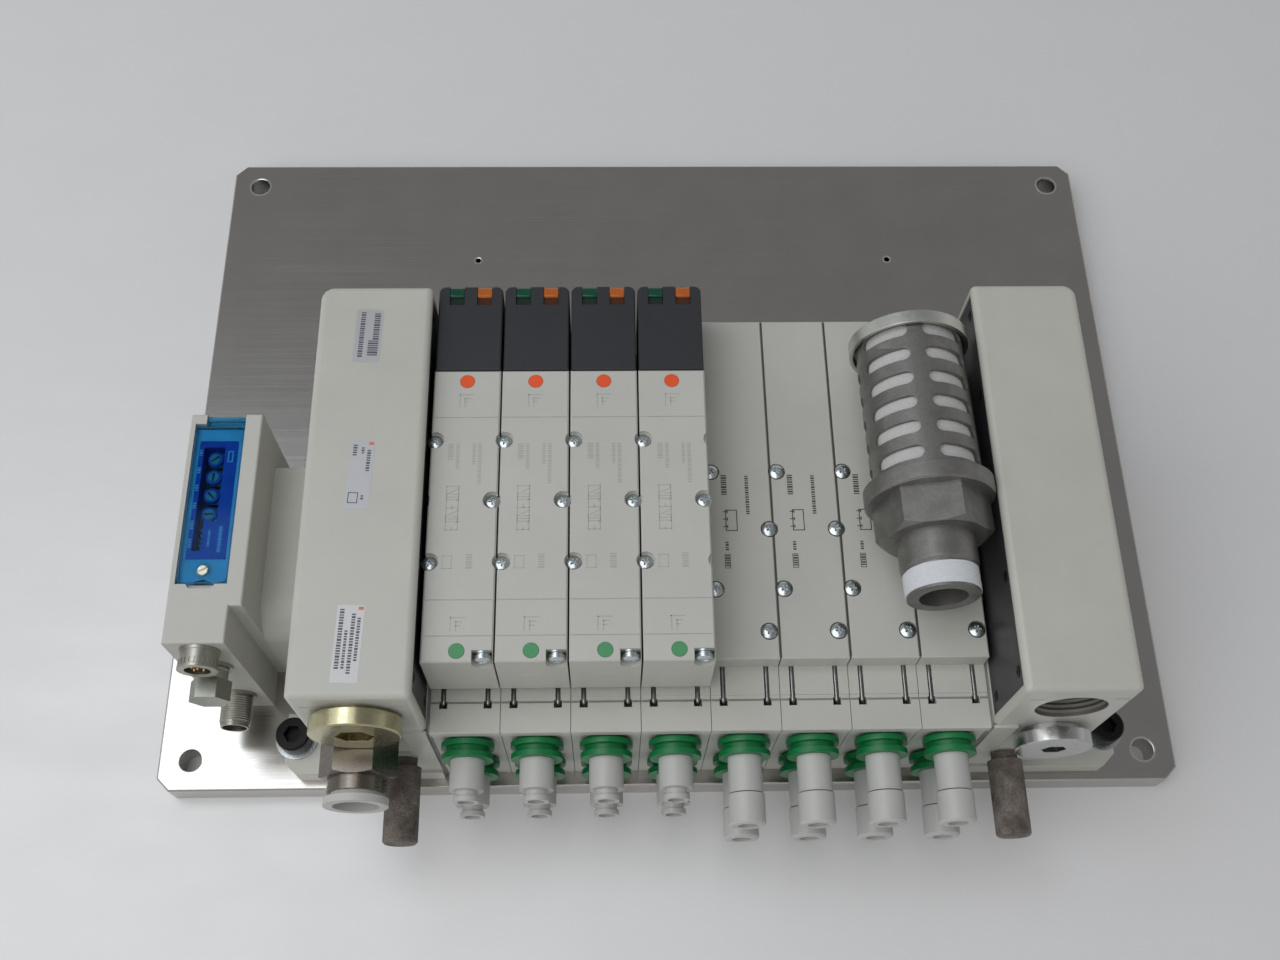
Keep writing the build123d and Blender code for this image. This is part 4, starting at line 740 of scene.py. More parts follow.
@dataclass
class ValveBank:
    """Valves: lamp lenses with windows in painted shade, embossed marks drawn as painted shade lines, faint
    print and gaskets.
    """

    finishes: Finishes
    valves: int = 4
    lens_offset: float = 5.2
    lens_width: float = 5.4
    lens_height: float = 4.3
    lens_depth: float = 8.1
    lens_bump: float = 4.6
    lens_radius: float = 1.6
    inset: float = 0.05
    mark_half: float = 2.45
    mark_y: Point = (-31.8, -117.6)
    symbol: Point = (-3.6, -74.5)
    symbol_side: float = 4.2
    frame: Point = (-4.6, -95.0)
    columns: tuple[Column, ...] = (
        (-4.9, -49.3, -56.4, 2.0),
        (-2.4, -49.3, -59.6, 1.3),
        (5.5, -49.3, -66.0, 1.3),
        (3.4, -49.3, -58.0, 1.2),
        (3.0, -92.0, -98.0, 2.2),
    )

    def build(self) -> None:
        """Make every valve's small pieces."""
        # Each window takes a dark copy of its lens colour: painted shade on the front of the lamp.
        lamps = (
            ("green_lamp", -self.lens_offset, GREEN_LENS, tone(18, 42, 34)),
            ("orange_lamp", self.lens_offset, ORANGE_LENS, tone(71, 36, 10)),
        )
        for number in range(1, self.valves + 1):
            pilot, body = Span.of(f"pilot_cover_{number}"), Span.of(f"valve_body_{number}")
            for name, offset, finish, colour in lamps:
                lens_shade = ink(f"{name}_well", colour, 0.25, 0.5)
                self.lens(f"{name}_{number}", body.middle.x + offset, pilot, finish, lens_shade)
            face = shifted(body.middle.x, 0, body.high.z)
            self.marks(number, face)
            self.print(number, face)
            self.gasket(number, body)

    def lens(self, name: str, x: float, pilot: Span, finish: ClearPlastic, lens_shade: MouldedPlastic) -> None:
        """Make a lamp's rounded lens and the window in front of it, coloured as a darker copy of the lens:
        painted shade.

        Args:
            name: Name of the lens.
            x: Middle of the lens along the row.
            pilot: Box of the pilot cover that holds it.
            finish: Finish of the lens.
            lens_shade: Finish of the window in front of it, the lens colour darkened as painted shade.
        """
        back, top = pilot.high.y - self.inset, pilot.high.z - self.inset
        low, bump, front = top - self.lens_height, back - self.lens_bump, pilot.high.y - self.lens_depth
        bend = [
            (back - self.lens_radius + u, top - self.lens_radius + v)
            for u, v in arc(self.lens_radius, 0, 90, 6)
        ]
        outline = [(bump, low), (back, low), *bend, (bump + 0.5, top), (bump, top - 0.5)]
        place = on_side(x - self.lens_width / 2, 0, 0, Side.EXHAUST)
        Shape().slab(outline, place, self.lens_width).finish(name, self.finishes[finish], edge=0.15)
        flat = [(front, low), (bump - 0.02, low), (bump - 0.02, top - 1.0), (front, top - 1.0)]
        window = Shape().slab(flat, place, self.lens_width)
        window.finish(f"{name}_window", self.finishes[lens_shade], edge=0.1)

    def marks(self, number: int, face: Matrix) -> None:
        """Make the two embossed marks next to the override buttons, drawn as darker lines along their edges:
        painted shade of their relief.

        Args:
            number: Number of the station.
            face: Middle of the valve's top face.
        """
        shape, half = Shape(), self.mark_half
        for y in self.mark_y:
            place = face @ shifted(0, y)
            lines(shape, place, [(-half, -half), (-half, half), (half, half)], 0.35)
            lines(shape, place, [(-0.6, -half), (-0.6, 0.9), (1.3, 0.9)], 0.35)
            lines(shape, place, [(-0.6, -0.5), (0.9, -0.5)], 0.3)
        shape.finish(f"raised_marks_{number}", self.finishes[EMBOSS_PAINTED_SHADE], slot="ivory_plastic")

    def print(self, number: int, face: Matrix) -> None:
        """Make the faint print on the valve's top.

        Args:
            number: Number of the station.
            face: Middle of the valve's top face.
        """
        shape = Shape()
        text_columns(shape, face, *self.columns)
        valve_symbol(shape, face @ shifted(*self.symbol), 4, self.symbol_side, 0.3)
        frame_lines(shape, face @ shifted(*self.frame), 3.2, 4.6, 0.25)
        shape.finish(f"valve_print_{number}", self.finishes[FAINT_PRINT], slot="ivory_plastic")

    def gasket(self, number: int, body: Span) -> None:
        """Make the black gasket under a valve.

        Args:
            number: Number of the station.
            body: Box of the valve body.
        """
        width, depth = body.high.x - body.low.x - 2.2, body.high.y - body.low.y - 2.8
        place = shifted(body.middle.x, body.high.y - depth / 2 - 0.1, body.low.z + 0.03)
        sheet = Shape().slab(rectangle(width, depth, 0.8), place, 0.8)
        sheet.finish(f"gasket_{number}", self.finishes[BLACK_RUBBER])


@dataclass
class Fasteners:
    """Screws of the valves and blanking plates, with domed heads and crossed recesses."""

    finishes: Finishes
    valves: int = 4
    stations: int = 8
    valve_spots: tuple[Point, ...] = ((-10.8, -47.8), (10.3, -71.5), (-10.8, -94.8))
    blank_spots: tuple[Point, ...] = ((-9.9, -49.0), (11.1, -72.5), (-9.8, -96.1), (8.9, -112.3))
    seat_depth: float = 2.0
    valve_rise: float = -1.1
    blank_rise: float = 0.75
    head_radius: float = 2.85
    dome: float = 0.85
    recess_length: float = 1.3
    recess_width: float = 0.34
    recess_depth: float = 0.7
    recess_slope: float = 0.18
    spokes: int = 48
    rings: int = 14
    clamp_offset: float = 8.5
    clamp_y: float = -126.7
    clamp_drop: float = 3.5
    clamp_radius: float = 3.05
    clamp_rise: float = 2.1
    washers: float = 1.34

    def build(self) -> None:
        """Make all screws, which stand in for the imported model's plain ones."""
        heads = Shape()
        for number in range(1, self.stations + 1):
            blanked = number > self.valves
            span = Span.of(f"blanking_plate_{number}" if blanked else f"valve_body_{number}")
            rise = self.blank_rise if blanked else self.valve_rise
            for n, (offset, y) in enumerate(self.blank_spots if blanked else self.valve_spots):
                place = shifted(span.middle.x + offset, y, span.high.z)
                self.head(heads, place, rise, self.head_radius, self.seat_depth, 31.0 * (number + 2 * n))
            if not blanked:
                self.clamp(heads, span, 23.0 * number)
        screws = heads.finish("domed_screws", self.finishes["zinc_plated_steel"], slot="zinc_plated_steel")
        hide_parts("mounting_screws")

    def head(self, shape: Shape, place: Matrix, rise: float, radius: float, depth: float, turn: float) -> None:
        """Add a domed head with a crossed recess.

        Args:
            shape: Shape that takes the head.
            place: Point on the screw's axis in the surface it is set in.
            rise: Height of the dome's crown over that surface.
            radius: Radius of the head.
            depth: Depth of the head's underside below that surface.
            turn: Turn of the recess in degrees.
        """
        back = Matrix.Rotation(-math.radians(turn), 2)
        loops = []
        for k in range(1, self.rings + 1):
            edge = radius * k / self.rings
            height = rise - self.dome * (k / self.rings) ** 2.6
            loop = []
            for u, v in arc(edge, 0, 360, self.spokes)[:-1]:
                x, y = back @ Vector((u, v))
                arm = min(abs(x), abs(y)) - self.recess_width * (1.15 - 0.5 * edge / self.recess_length)
                inside = max(arm, edge - self.recess_length)
                sunk = self.recess_depth * min(max(-inside / self.recess_slope, 0.0), 1.0)
                loop += shape.loop([(u, v)], place, height - sunk)
            loops.append(loop)
        foot = shape.loop(arc(radius, 0, 360, self.spokes)[:-1], place, -depth)
        centre = shape.mesh.verts.new(place @ Vector((0, 0, rise - self.recess_depth - 0.15)))
        for n in range(self.spokes):
            shape.mesh.faces.new((centre, loops[0][n - 1], loops[0][n]))
        shape.skin([*loops, foot])
        shape.mesh.faces.new(foot)

    def clamp(self, shape: Shape, valve: Span, turn: float) -> None:
        """Add the clamp screw at a valve's front, with its spring washer and plain washer.

        Args:
            shape: Shape that takes the screw.
            valve: Box of the valve body.
            turn: Turn of its recess in degrees.
        """
        seat = on_front(valve.middle.x + self.clamp_offset, self.clamp_y, valve.high.z - self.clamp_drop)
        shape.turned([(0.02, 0.02), (0.02, 3.2), (0.58, 3.2), (0.58, 0.02)], seat)
        spring = [(0.6, 0.02), (0.6, 2.55), (0.75, 2.65), (1.2, 2.65), (1.32, 2.55), (1.32, 0.02)]
        shape.turned(spring, seat)
        self.head(shape, seat @ shifted(0, 0, self.washers), self.clamp_rise, self.clamp_radius, 0.0, turn)


@dataclass
class BlankedStations:
    """Blanking plates: printed circuit symbol, small print and dark strips over the seams between the plates:
    painted shade.
    """

    finishes: Finishes
    first: int = 5
    last: int = 8
    symbol: Point = (-2.9, -68.9)
    symbol_size: float = 4.1
    ports: Triple = (-0.62, 0.12, 0.85)
    frame: Point = (-4.9, -85.2)
    joint: float = 0.62
    joint_inset: float = 0.5
    columns: tuple[Column, ...] = (
        (-5.2, -50.3, -58.6, 2.1),
        (3.4, -50.6, -67.5, 1.35),
        (-4.9, -77.5, -81.5, 1.2),
        (-4.9, -82.9, -88.0, 1.5),
    )

    def build(self) -> None:
        """Make the painted shade over the seams and every blanking plate's print."""
        self.joints()
        for number in range(self.first, self.last + 1):
            plate = Span.of(f"blanking_plate_{number}")
            face = shifted(plate.middle.x, 0, plate.high.z)
            shape = Shape()
            symbol = face @ shifted(*self.symbol)
            frame_lines(shape, symbol, self.symbol_size, 2 * self.symbol_size, 0.36)
            out, end = -self.symbol_size / 2 - 0.9, -self.symbol_size / 2 + 0.6
            for port in self.ports:
                y = port * self.symbol_size
                lines(shape, symbol, [(out, y), (end, y)], 0.34)
                lines(shape, symbol, [(end, y - 0.5), (end, y + 0.5)], 0.34)
            text_columns(shape, face, *self.columns)
            frame_lines(shape, face @ shifted(*self.frame), 1.9, 5.4, 0.25)
            shape.finish(f"blanking_print_{number}", self.finishes[PRINT_DARK], slot="ivory_plastic")

    def joints(self) -> None:
        """Make the dark strip over the seam between each plate and the next: painted shade in the seam."""
        shape = Shape()
        for number in range(self.first, self.last):
            plate, after = Span.of(f"blanking_plate_{number}"), Span.of(f"blanking_plate_{number + 1}")
            length = plate.high.y - plate.low.y - 2 * self.joint_inset
            place = shifted((plate.high.x + after.low.x) / 2, plate.middle.y, plate.high.z)
            shape.slab(rectangle(self.joint, length), place, 0.03)
        shape.finish("plate_seam_painted_shade", self.finishes[SEAM_PAINTED_SHADE], slot="ivory_plastic")


@dataclass
class Bases:
    """Manifold bases: a darker line in the groove across each deck, in front of the blanking plates: painted
    shade in the groove.
    """

    finishes: Finishes
    stations: int = 8
    groove_y: float = -134.85
    groove_depth: float = 0.4
    line: float = 0.75
    clip_offset: float = 7.9
    clip_clear: float = 1.6
    half_width: float = 12.3

    def build(self) -> None:
        """Make the painted shade line in the groove of every base, left open where the clips cross it."""
        deck = Span.of("blanking_plate_5").low.z
        inner, outer = self.clip_offset - self.clip_clear, self.clip_offset + self.clip_clear
        shape = Shape()
        for number in range(1, self.stations + 1):
            x = Span.of(f"manifold_base_{number}").middle.x
            for low, high in ((-self.half_width, -outer), (-inner, inner), (outer, self.half_width)):
                place = shifted(x + (low + high) / 2, self.groove_y, deck - self.groove_depth)
                shape.slab(rectangle(high - low, self.line), place, 0.05)
        shape.finish("deck_groove_painted_shade", self.finishes[GROOVE_PAINTED_SHADE], slot="ivory_plastic")


@dataclass
class EndBlocks:
    """End blocks: dark inner panels with screws, machined ports darkened with painted shade, painted shade in
    the gaps to the bases, and stickers.
    """

    finishes: Finishes
    front_y: float = -145.0
    relief: float = 1.2
    rim: float = 3.0
    panel: float = 0.8
    panel_gap: float = 0.15
    port_x: float = 134.0
    port_height: float = 98.5
    port_radius: float = 12.3
    port_depth: float = 17.0
    thread_pitch: float = 1.8
    joint_inset: float = 0.8
    sticker: float = 0.1

    def build(self) -> None:
        """Make the pieces of both end blocks."""
        deck = Span.of("blanking_plate_5").low.z
        for side, number in ((Side.SUPPLY, 1), (Side.EXHAUST, 8)):
            block = Span.of(f"{side.name.lower()}_end_block")
            self.inner_panel(side, block, deck)
            self.end_gasket(side, block, Span.of(f"manifold_base_{number}"), deck)
        self.port_thread()
        self.stickers(Span.of("supply_end_block").high.z)

    def inner_panel(self, side: Side, block: Span, deck: float) -> None:
        """Make the dark panel on a block's inner face, with its screws.

        Args:
            side: End of the row.
            block: Box of the end block.
            deck: Height of the bases' top.
        """
        inner = block.high.x if side is Side.SUPPLY else block.low.x
        floor = inner + side.value * (self.relief - 0.02)
        edge = self.rim + self.panel_gap
        low_y, high_y = self.front_y + edge, block.high.y - edge
        low_z, high_z = deck + self.panel_gap, block.high.z - edge
        inward = Side.EXHAUST if side is Side.SUPPLY else Side.SUPPLY
        place = on_side(floor, (low_y + high_y) / 2, (low_z + high_z) / 2, inward)
        name = side.name.lower()
        plate = Shape().slab(rectangle(high_y - low_y, high_z - low_z, 1.0), place, self.panel)
        plate.finish(f"{name}_inner_panel", self.finishes[PANEL_BLACK], edge=0.15)
        button = [(-0.3, 0.02), (-0.3, 2.1), (0.12, 2.1), (0.3, 1.5), (0.3, 0.8), (0.05, 0.7), (0.05, 0.02)]
        screws = Shape()
        for u in (low_y + 6, low_y + 40, high_y - 40, high_y - 6):
            for v in (low_z + 5, high_z - 5):
                screws.turned(button, on_side(floor + inward.value * self.panel, u, v, inward), 20)
        screws.finish(f"{name}_panel_screws", self.finishes["black_oxide_steel"], slot="black_oxide_steel")

    def end_gasket(self, side: Side, block: Span, base: Span, deck: float) -> None:
        """Fill the joint between an end block and the nearest base with a mid-grey sheet: painted shade in the
        gap.

        Args:
            side: End of the row.
            block: Box of the end block.
            base: Box of the base next to it.
            deck: Height of the bases' top.
        """
        left, right = (block, base) if side is Side.SUPPLY else (base, block)
        low_x, high_x = left.high.x + 0.05, right.low.x - 0.05
        low_y, high_y = base.low.y + self.joint_inset, block.high.y - self.joint_inset
        low_z, high_z = base.low.z + 0.1, deck - self.joint_inset
        place = on_side(low_x, (low_y + high_y) / 2, (low_z + high_z) / 2, Side.EXHAUST)
        # Painted shade in the gap, not a gasket.
        gasket = Shape().slab(rectangle(high_y - low_y, high_z - low_z), place, high_x - low_x)
        gasket.finish(f"{side.name.lower()}_end_gasket", self.finishes[END_GAP_PAINTED_SHADE])

    def port_thread(self) -> None:
        """Make the machined thread of the open exhaust port, in a dark metal that paints the shade inside the
        port.
        """
        outer, crest, pitch = self.port_radius - 0.03, self.port_radius - 0.75, self.thread_pitch
        root, end = outer - 0.12, self.port_depth - 0.3
        profile = [(end, outer), (0.15, outer), (0.15, outer - 0.08), (1.5, root)]
        for n in range(int((self.port_depth - 3.0) / pitch)):
            start = 1.5 + n * pitch
            profile += [(start + 0.45 * pitch, crest), (start + 0.55 * pitch, crest), (start + pitch, root)]
        profile.append((end, root))
        place = on_front(self.port_x, self.front_y, self.port_height) @ Matrix.Rotation(math.pi, 4, "X")
        Shape().turned(profile, place, 64).finish("exhaust_port_thread", self.finishes[MACHINED_BORE_PAINTED_SHADE])

    def stickers(self, top: float) -> None:
        """Make the three stickers of the supply end block, bare but for bars in place of print.

        Args:
            top: Height of the block's top face.
        """
        spots = (
            (-111.6, -8.7, 9.8, 22.4, -1.5),
            (-110.8, -64.8, 8.4, 26.4, -2.0),
            (-110.6, -126.5, 9.2, 26.9, -2.0),
        )
        prints = (
            ((-2.4, 10.0, -9.6, 1.7), (1.0, -2.0, -9.4, 1.6), (2.8, 9.6, -9.0, 2.2)),
            (
                (-2.6, 11.5, 6.5, 1.4),
                (0.2, 10.5, 7.5, 1.0),
                (2.4, 9.5, 0.5, 1.3),
                (1.6, -8.0, -10.0, 0.9),
            ),
            (
                (-2.9, 12.0, -9.5, 1.5),
                (-0.9, 4.5, -9.0, 1.0),
                (1.1, 10.4, -11.0, 1.3),
                (3.0, 9.0, -6.5, 1.1),
            ),
        )
        for n, ((x, y, width, length, turn), finish, columns) in enumerate(zip(spots, STICKERS, prints), 1):
            place = shifted(x, y, top - self.sticker / 2) @ turned_by(turn)
            face = place @ shifted(0, 0, self.sticker)
            label = Shape().slab(rectangle(width, length, 0.7), place, self.sticker)
            label.finish(f"sticker_{n}", self.finishes[finish])
            bars = Shape()
            text_columns(bars, face, *columns)
            if n == 2:
                frame_lines(bars, face @ shifted(-1.6, -9.0), 3.2, 3.8, 0.3)
            bars.finish(f"sticker_bars_{n}", self.finishes[STICKER_PRINT])
            if n > 1:
                corner = face @ shifted(width / 2 - 1.3, length / 2 - 1.1)
                red = Shape().slab(rectangle(1.7, 1.1), corner, 0.02)
                red.finish(f"sticker_corner_{n}", self.finishes[STICKER_RED])


@dataclass
class ExhaustSilencer:
    """Loose exhaust silencer: wound seal tape on its thread."""

    finishes: Finishes
    start: Triple = (89.1, -5.6, 108.4)
    turn: float = math.radians(1.3)
    tilt: float = math.radians(1.11)
    tape_from: float = 94.6
    tape_to: float = 102.5
    thread_radius: float = 12.8
    wound: float = 0.36
    lap: float = 0.09
    crease: float = 0.1
    ragged: float = 0.35
    steps: int = 72
    rows: int = 22

    def axis(self) -> Matrix:
        """Place whose third direction runs along the silencer from its capped end.

        Returns:
            The placing matrix, in millimetres.
        """
        level = math.cos(self.tilt)
        run = Vector((math.sin(self.turn) * level, -math.cos(self.turn) * level, math.sin(self.tilt)))
        side = Vector((math.cos(self.turn), math.sin(self.turn), 0.0))
        place = Matrix((side, run.cross(side), run)).transposed().to_4x4()
        place.translation = self.start
        return place

    def build(self) -> None:
        """Make the tape, with its overlaps, creases and ragged ends."""
        shape, axis = Shape(), self.axis()
        loops = []
        for row in range(self.rows + 1):
            share = row / self.rows
            distance = self.tape_from + share * (self.tape_to - self.tape_from)
            loop = []
            for n in range(self.steps):
                angle = n * math.tau / self.steps
                u, v = math.cos(angle), math.sin(angle)
                lap = self.lap * math.sin(distance * 2.6 + angle * 0.5) ** 4
                crease = self.crease * noise.noise(Vector((u * 5, v * 5, distance * 1.4)))
                radius = self.thread_radius + self.wound + lap + crease
                edge = self.ragged * noise.noise(Vector((u * 2.0, v * 2.0, share * 0.5)))
                if row not in (0, self.rows):
                    edge = 0.0
                loop += shape.loop([(radius * u, radius * v)], axis, distance + edge)
            loops.append(loop)
        inner = arc(self.thread_radius - 0.1, 0, 360, self.steps)[:-1]
        first, last = shape.loop(inner, axis, self.tape_from), shape.loop(inner, axis, self.tape_to)
        shape.skin([first, *loops, last], closed=True)
        shape.finish("seal_tape", self.finishes[SEAL_TAPE])


@dataclass
class SerialUnit:
    """Serial unit: window details under the hinged cover, captive screw and connector fittings."""

    finishes: Finishes
    panel_top: float = 90.5
    web_top: float = 84.7
    slot_x: float = -171.3
    slot_width: float = 7.8
    slot_back: float = -39.6
    slot_front: float = -69.6
    strip_front: float = -81.3
    strip_width: float = 3.2
    switches: int = 4
    lamps: int = 5
    screw: Point = (-169.9, -89.3)
    screw_radius: float = 3.2
    connector_x: float = -169.5
    front_y: float = -117.0
    upper_port: float = 84.7
    middle_port: float = 66.2
    lower_port: float = 29.2
    thread_pitch: float = 0.9
    knurls: int = 24
    pins: int = 4
    pin_circle: float = 2.4
    window_x: Point = (-179.0, -160.4)
    window_y: Point = (-94.8, -30.6)
    label_x: Point = (-176.9, -162.6)
    label_y: Point = (-84.7, -37.0)
    cover_top: float = 92.4
    cover_gap: float = 0.3
    hinge_room: float = 1.5
    lining: float = 0.3

    def build(self) -> None:
        """Make the small pieces of the serial unit."""
        self.window_lining()
        self.cover_edge()
        self.switch_field()
        self.panel_print()
        self.captive_screw()
        self.threads()
        self.contacts()

    def window_lining(self) -> None:
        """Make the pale lining round the switch panel, seen through the blue cover."""
        low_x, high_x = self.window_x[0] + 0.1, self.window_x[1] - 0.1
        low_y, high_y = self.window_y[0] + 0.1, self.window_y[1] - self.hinge_room
        outer_x, inner_x = self.label_x[0] - 0.05, self.label_x[1] + 0.05
        front_y, back_y = self.label_y[0] - 0.05, self.label_y[1] + 0.05
        level = self.panel_top - self.lining
        shape = Shape()
        for left, right, front in (
            (low_x, outer_x, low_y),
            (inner_x, high_x, low_y),
            (outer_x, inner_x, back_y),
        ):
            place = shifted((left + right) / 2, (front + high_y) / 2, level)
            shape.slab(rectangle(right - left, high_y - front), place, self.lining)
        x, y = self.screw
        for edge, sweep in ((outer_x, -180), (inner_x, 180)):
            bend = [(x + u, y + v) for u, v in arc(self.screw_radius + 0.05, -90, sweep, 12)]
            outline = [(edge, low_y), (x, low_y), *bend, (x, front_y), (edge, front_y)]
            shape.slab(outline, shifted(0, 0, level), self.lining)
        shape.finish("window_lining", self.finishes[WINDOW_LINING])

    def cover_edge(self) -> None:
        """Make the dark line that the cover's cut edge shows round the window."""
        width = self.window_x[1] - self.window_x[0] - 2 * self.cover_gap - 0.4
        length = self.window_y[1] - self.window_y[0] - 2 * self.cover_gap - self.hinge_room
        middle_y = self.window_y[0] + self.cover_gap + 0.2 + length / 2
        corners = rectangle(width, length, 1.6, 5)
        shape = Shape()
        place = shifted(sum(self.window_x) / 2, middle_y, self.cover_top)
        lines(shape, place, [*corners, corners[0]], 0.34)
        shape.finish("cover_edge", self.finishes[COVER_EDGE], Body.COVER)

    def switch_field(self) -> None:
        """Make the dark field with its rotary switches and status lamps."""
        strip_x = self.slot_x - (self.slot_width - self.strip_width) / 2
        field = Shape()
        for x, width, back, front in (
            (self.slot_x, self.slot_width, self.slot_back, self.slot_front),
            (strip_x, self.strip_width, self.slot_front, self.strip_front),
        ):
            outline = rectangle(width - 0.1, back - front - 0.1)
            field.slab(outline, shifted(x, (back + front) / 2, self.web_top + 0.02), 0.2)
        field.finish("switch_field", self.finishes[BLACK_RUBBER])
        pitch = (self.slot_back - self.slot_front) / self.switches
        arrow = [(-1.7, -0.35), (1.0, -0.35), (1.0, -0.8), (1.8, 0.0), (1.0, 0.8), (1.0, 0.35), (-1.7, 0.35)]
        cases, rotors, arrows = Shape(), Shape(), Shape()
        for n in range(self.switches):
            y = self.slot_back - pitch * (n + 0.5)
            case = shifted(self.slot_x + 0.9, y, self.web_top + 0.2)
            cases.slab(rectangle(5.6, pitch - 1.2, 0.4), case, 1.9)
            rotor = shifted(self.slot_x, y, self.web_top + 3.38)
            rotors.turned([(0.0, 0.02), (0.0, 2.1), (0.3, 1.9), (0.3, 0.02)], rotor, 28)
            arrows.slab(arrow, rotor @ turned_by(35 + 50 * n) @ shifted(0, 0, 0.28), 0.05)
        cases.finish("switch_cases", self.finishes[SWITCH_GREY], edge=0.15)
        rotors.finish("switch_rotors", self.finishes[ROTOR_GREY])
        arrows.finish("switch_arrows", self.finishes[BLACK_RUBBER])
        lamps = Shape()
        for n in range(self.lamps):
            place = shifted(strip_x, self.slot_front - 1.6 - 2.1 * n, self.web_top + 0.2)
            lamps.slab(rectangle(1.3, 1.0, 0.2), place, 0.7)
        lamps.finish("status_lamps", self.finishes[LAMP_WHITE], edge=0.1)
        place = shifted(self.slot_x + 2.5, self.slot_front + 1.6, self.web_top + 2.1)
        power = Shape().slab(rectangle(1.6, 1.3, 0.2), place, 0.5)
        power.finish("power_lamp", self.finishes[LAMP_GREEN], edge=0.1)

    def panel_print(self) -> None:
        """Make the pale scale marks printed on the switch panel."""
        shape, face = Shape(), shifted(0, 0, self.panel_top)
        left, right = self.slot_x - self.slot_width / 2 - 1.0, self.slot_x + self.slot_width / 2 + 1.9
        for n in range(6):
            y = self.slot_back - 1.0 - n * 7.2
            text_columns(shape, face, (left, y, y - 3.4, 1.1))
        text_columns(
            shape,
            face,
            (right, self.slot_front - 2.2, -82.4, 1.3),
            (right - 4.0, self.slot_front - 3.6, -80.4, 0.9),
        )
        frame_lines(shape, face @ shifted(right + 0.4, -43.4), 1.6, 4.2, 0.5)
        shape.finish("panel_print", self.finishes[PRINT_WHITE])

    def captive_screw(self) -> None:
        """Make the slotted screw that keeps the cover shut."""
        post = shifted(*self.screw, self.panel_top)
        section = [(-2.4, 0.02), (-2.4, 1.1), (0.05, 1.1), (0.05, 2.05), (1.2, 2.05), (1.2, 0.02)]
        shape = Shape().turned(section, post, 32)
        for turn in (0, 180):
            shape.slab(arc(1.9, 10, 160, 12), post @ turned_by(turn + 25) @ shifted(0, 0, 1.15), 0.5)
        shape.finish("cover_screw", self.finishes[PALE_BRASS], edge=0.12)

    def threads(self) -> None:
        """Make the threads of the lower connectors and the knurl of the upper one."""
        shape, pitch = Shape(), self.thread_pitch
        for height, start, end in ((self.middle_port, 1.4, 2.9), (self.lower_port, 1.6, 12.1)):
            turns = int((end - start) / pitch)
            profile = [(start, 5.6)]
            for n in range(turns):
                at = start + n * pitch
                profile += [(at + 0.1, 5.72), (at + 0.4, 6.0), (at + 0.5, 6.0), (at + 0.85, 5.72)]
            profile.append((start + turns * pitch, 5.6))
            shape.turned(profile, on_front(self.connector_x, self.front_y, height), 48)
        shape.finish("connector_threads", self.finishes[NEUTRAL_NICKEL], slot="nickel_plate")
        ring, place = Shape(), on_front(self.connector_x, self.front_y, self.upper_port)
        for n in range(self.knurls):
            rib = place @ turned_by(360 * n / self.knurls) @ shifted(6.85, 0, 4.2)
            ring.slab(rectangle(0.4, 0.9), rib, 2.1)
        ring.finish("coupling_knurl", self.finishes[NEUTRAL_NICKEL], slot="nickel_plate")

    def contacts(self) -> None:
        """Make the insulators and pins inside the two open connectors."""
        cores, pins = Shape(), Shape()
        core = [(0.02, 0.02), (0.02, 4.4), (0.7, 4.4), (0.9, 4.1), (0.9, 0.02)]
        pin = [(0.8, 0.02), (0.8, 0.5), (4.1, 0.5), (4.5, 0.25), (4.5, 0.02)]
        for height, floor in ((self.upper_port, 2.6), (self.lower_port, 5.0)):
            place = on_front(self.connector_x, self.front_y, height) @ shifted(0, 0, floor)
            cores.turned(core, place, 32)
            for n in range(self.pins):
                pins.turned(pin, place @ shifted(*arc(self.pin_circle, 45 + 90 * n, 0, 1)[0]), 12)
            pins.turned(pin, place, 12)
        cores.finish("connector_cores", self.finishes[BLACK_RUBBER])
        pins.finish("connector_pins", self.finishes[BRASS])


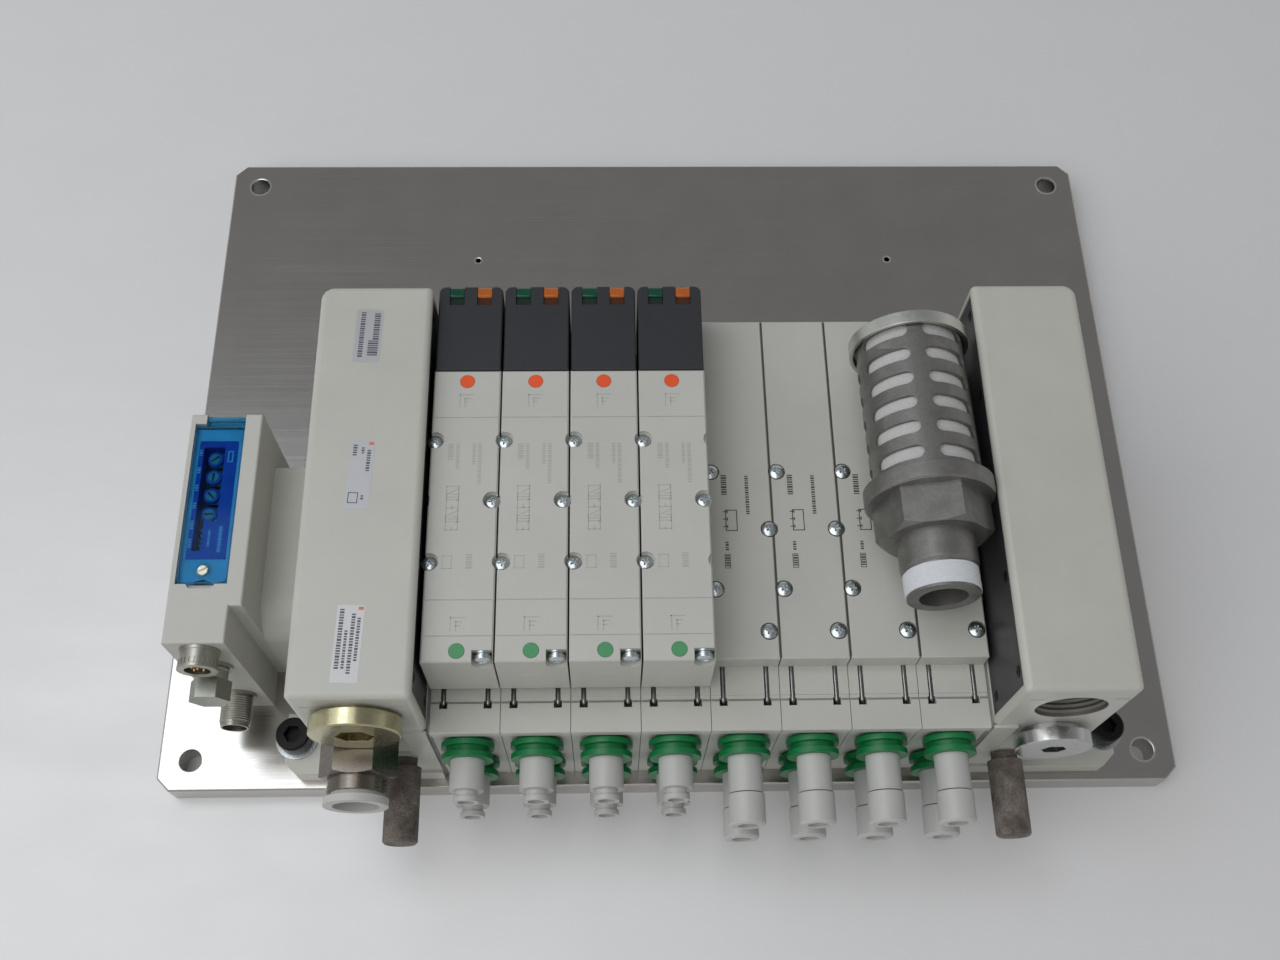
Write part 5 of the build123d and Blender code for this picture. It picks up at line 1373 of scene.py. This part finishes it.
@dataclass
class Studio:
    """Floor, soft light and the camera at the photograph's place."""

    floor_half: float = 6.0
    walls: Colour = (0.6, 0.6, 0.6, 1.0)
    ceiling: Colour = (0.24, 0.24, 0.245, 1.0)
    wall_top: float = 0.1
    ceiling_edge: float = 0.65
    eye: Triple = (-0.02453, -0.27070, 0.55595)
    yaw: float = -0.0566
    pitch: float = math.radians(65.01)
    roll: float = -0.0446
    sensor: float = 36.0
    focus: float = 1375.72 / 1280

    def build(self) -> None:
        """Set the stage."""
        self.floor()
        self.lamp("key_light", (-0.96, -0.64, 1.5), (2.3, 2.1), 23.6, (8.0, -15.0))
        window = self.lamp("window_light", (-0.66, 0.32, 1.5), (0.55, 0.45), 1.9, (-14.0, -24.0))
        window.color = (0.78, 0.89, 1.0)
        self.sky()
        self.camera()
        bpy.context.scene.view_settings.view_transform = "Standard"
        LOG.info("stage, light and camera set")

    def floor(self) -> None:
        """Lay the pale floor."""
        mesh = bmesh.new()
        bmesh.ops.create_grid(mesh, x_segments=8, y_segments=8, size=self.floor_half)
        data = bpy.data.meshes.new("floor")
        mesh.to_mesh(data)
        mesh.free()
        surface = Surface("pale_floor")
        clouds = surface.noise((0.002, 0.002, 0.002))
        ripples = surface.noise((0.02, 0.05, 0.02))
        surface.link(surface.blend(clouds, tone(217, 217, 217), tone(222, 222, 223)), "Base Color")
        surface.fix(Specular_IOR_Level=1.0)
        surface.gloss(ripples, 0.36, 0.06)
        surface.relief(ripples, 0.3)
        data.materials.append(surface.material)
        floor = bpy.data.objects.new("floor", data)
        bpy.context.scene.collection.objects.link(floor)

    def lamp(self, name: str, place: Triple, size: Point, power: float, tilt: Point) -> bpy.types.AreaLight:
        """Hang one soft rectangular light.

        Args:
            name: Name of the light.
            place: Position in metres.
            size: Width and depth in metres.
            power: Power in watts.
            tilt: Turns about x and y in degrees.

        Returns:
            The light.
        """
        light = bpy.data.lights.new(name, "AREA")
        light.shape = "RECTANGLE"
        light.size, light.size_y = size
        light.energy = power
        lamp = bpy.data.objects.new(name, light)
        lamp.location = place
        lamp.rotation_euler = (math.radians(tilt[0]), math.radians(tilt[1]), 0.0)
        bpy.context.scene.collection.objects.link(lamp)
        return light

    def sky(self) -> None:
        """Surround everything with a room whose walls are paler than its ceiling."""
        world = bpy.data.worlds.new("room")
        world.use_nodes = True
        tree = world.node_tree
        place = tree.nodes.new("ShaderNodeTexCoord")
        split = tree.nodes.new("ShaderNodeSeparateXYZ")
        ramp = tree.nodes.new("ShaderNodeValToRGB")
        tree.links.new(place.outputs["Generated"], split.inputs["Vector"])
        tree.links.new(split.outputs["Z"], ramp.inputs["Fac"])
        low, high = ramp.color_ramp.elements
        low.position, low.color = self.wall_top, self.walls
        high.position, high.color = self.ceiling_edge, self.ceiling
        tree.links.new(ramp.outputs["Color"], tree.nodes["Background"].inputs["Color"])
        bpy.context.scene.world = world

    def camera(self) -> None:
        """Stand the camera where the photograph was taken."""
        level = Vector((math.cos(self.yaw), math.sin(self.yaw), 0.0))
        flat = Vector((-math.sin(self.yaw), math.cos(self.yaw), 0.0))
        ahead = math.cos(self.pitch) * flat - Vector((0.0, 0.0, math.sin(self.pitch)))
        down = ahead.cross(level)
        right = math.cos(self.roll) * level + math.sin(self.roll) * down
        below = -math.sin(self.roll) * level + math.cos(self.roll) * down
        data = bpy.data.cameras.new("camera")
        data.sensor_width = self.sensor
        data.sensor_fit = "HORIZONTAL"
        data.lens = self.focus * self.sensor
        camera = bpy.data.objects.new("camera", data)
        pose = Matrix((right, -below, -ahead)).transposed().to_4x4()
        pose.translation = self.eye
        camera.matrix_world = pose
        bpy.context.scene.collection.objects.link(camera)
        bpy.context.scene.camera = camera


def main() -> None:
    """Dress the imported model, add its small pieces, and set the stage."""
    logging.basicConfig(level=logging.INFO, format="%(name)s %(message)s")
    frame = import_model()
    finishes = Finishes()
    finishes.dress_nodes(frame["nodes"])
    BasePlate(finishes).build()
    ValveBank(finishes).build()
    Fasteners(finishes).build()
    BlankedStations(finishes).build()
    Bases(finishes).build()
    EndBlocks(finishes).build()
    ExhaustSilencer(finishes).build()
    SerialUnit(finishes).build()
    Studio().build()


if __name__ == "__main__":
    main()
